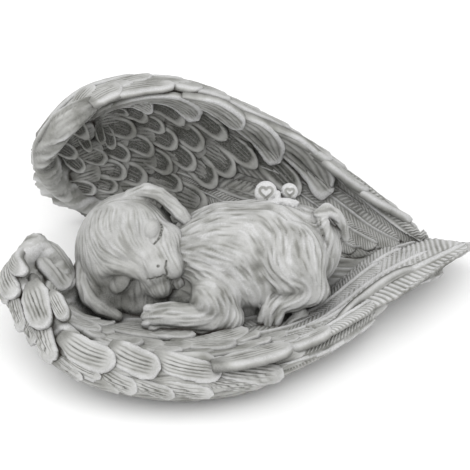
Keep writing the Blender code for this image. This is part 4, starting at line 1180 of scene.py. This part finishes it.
# Painted shade on the lower face and eye socket, on the skull under the upper ear, and under the lower ear
headShadePatches = [(touch(headShapes, across, up), radius, k) for across, up, radius, k in (
    (-43.0, 0.0, 8.0, 0.35), (-52.0, 7.0, 6.0, 0.25), (-36.0, 41.0, 2.4, 0.4), (-30.0, 38.0, 2.4, 0.4),
    (-58.5, 3.0, 3.0, 0.35), (-53.5, -1.0, 3.0, 0.35),
)]
smoothPlaces = [
    (touch(skull, -33.6, 14.2), 5.0), (touch(skull, -35.9, 30.0), 5.5), (touch(skull, -47.2, 7.4), 5.5),
    (touch(headShapes, -54.5, 1.0), 5.0),
]
furred("puppyBody", bodyShapes, puppy["body"], bodyComb, [], bodyShadePatches)
furred("puppyHead", headShapes, puppy["head"], headComb, smoothPlaces, headShadePatches)
print("puppy modelled")

# The butterfly on the rump: two round upper wings with a heart line on each, over a ragged lower plate
butterfly = {
    "voxel": 0.32,
    "wings": (((13.3, 46.0, 22.0), (4.8, 5.1, 1.9), 8), ((23.3, 46.3, 20.5), (3.6, 3.9, 1.8), 0)),
    "plate": (
        ((17.6, 41.0, 23.5), (7.8, 2.6, 2.6), 0.6, 10), ((13.6, 38.6, 25.0), (4.6, 3.4, 2.4), 0.6, -20),
        ((23.0, 40.6, 23.0), (4.6, 2.2, 2.2), 0.5, 16),
    ),
    "body": ((18.6, 46.0, 22.0), (18.0, 41.0, 25.5)),
    "hearts": (((13.4, 46.3), 3.1, 0.42), ((23.6, 46.3), 2.1, 0.38)),
}


def heartLine(shapes, middle, size, cut):
    outline = []
    for t in np.linspace(0.35, 2 * math.pi - 0.35, 17):
        x = 16 * math.sin(t) ** 3 / 17
        y = (13 * math.cos(t) - 5 * math.cos(2 * t) - 2 * math.cos(3 * t) - math.cos(4 * t)) / 17
        outline.append((middle[0] + x * size, middle[1] + y * size))
    return chain(traced(shapes, outline, -0.05), [cut] * len(outline), -0.25)


def buildButterfly():
    shapes = [ball(seen(*place), radii, 0.4, leaning(lean)) for place, radii, lean in butterfly["wings"]]
    shapes += [ball(seen(*place), radii, k, leaning(lean)) for place, radii, k, lean in butterfly["plate"]]
    shapes += seenChain(butterfly["body"], [1.1, 1.4], 0.4)
    plain = list(shapes)
    for middle, size, cut in butterfly["hearts"]:
        shapes += heartLine(plain, middle, size, cut)
    mesh = skinOf("butterfly", shapes, butterfly["voxel"])
    points, normals = vertexArray(mesh), vertexArray(mesh, "normal")
    near = np.full(len(points), 10.0)
    for shape in shapes[len(plain):]:
        near = np.minimum(near, shapeDistance(points, shape))
    low = smoothStep(43.5, 40.5, points @ seenAxes[1])
    lumps = noiseAt(points, 2.4, 5) + 0.6 * noiseAt(points, 1.1, 6)
    setVertices(mesh, points + normals * ((0.15 + 0.55 * low) * lumps)[:, None])
    # The lower plate's underside gets painted shade; the heart lines take the wash.
    under = smoothStep(39.5, 36.5, points @ seenAxes[1])
    setFloats(mesh, "washAndShade", np.clip(0.08 + 0.5 * (1 - smoothStep(-0.2, 0.4, near)) + 0.45 * under, 0, 1))
    keep(objectFrom("butterfly", mesh), butterflyResin)


buildButterfly()
for obj in list(blades.values()) + [pair[0] for pair in sheets.values()]:
    bpy.data.objects.remove(obj)
print("butterfly modelled")

# Stage: pale paper floor, soft studio light from above, and a long lens at the sight line's own slope
stage = {
    "aim": (0.0, 17.2, 22.0), "floor": 3.0, "paper": "#fbfbfb", "sky": 0.85,
    # place, size and power of each lamp
    "lights": {"key": ((-0.35, -0.35, 0.95), 1.6, 6.5), "fill": ((0.6, -0.9, 0.8), 1.8, 3.5)},
}


def buildStage():
    reach = stage["floor"]
    corners = [(-reach, -reach, 0), (reach, -reach, 0), (reach, reach, 0), (-reach, reach, 0)]
    floor = objectFrom("floor", meshFrom("floor", corners, [[0, 1, 2, 3]]))
    paper = bpy.data.materials.new("whitePaper")  # uncoated matt sheet, which only scatters
    paper.use_nodes = True
    shader = paper.node_tree.nodes["Principled BSDF"]
    shader.inputs["Base Color"].default_value = toLinear(stage["paper"])
    shader.inputs["Roughness"].default_value = 0.9
    floor.data.materials.append(paper)
    for name, (place, size, power) in stage["lights"].items():
        light = bpy.data.lights.new(name, "AREA")
        light.shape = "DISK"
        light.size, light.energy = size, power
        lamp = objectFrom(name, light)
        lamp.location = place
        lamp.rotation_euler = (Vector((0, 0, 0.03)) - Vector(place)).to_track_quat("-Z", "Y").to_euler()
    world = bpy.data.worlds.new("studio")
    world.use_nodes = True
    sky = world.node_tree.nodes["Background"]
    sky.inputs[0].default_value, sky.inputs[1].default_value = toLinear("#ffffff"), stage["sky"]
    bpy.context.scene.world = world
    camera = bpy.data.cameras.new("camera")
    camera.sensor_width = 36.0
    camera.lens = 36.0 * sight["far"] / (470 * sight["pixel"])
    eye = objectFrom("camera", camera)
    back = Vector((0, -math.cos(sight["down"]), math.sin(sight["down"])))
    eye.location = Vector((np.array(stage["aim"]) + standAt) * mm) + back * sight["far"] * mm
    eye.rotation_euler = (-back).to_track_quat("-Z", "Y").to_euler()
    bpy.context.scene.camera = eye
    bpy.context.scene.view_settings.view_transform = "Standard"


buildStage()
print("stage set")
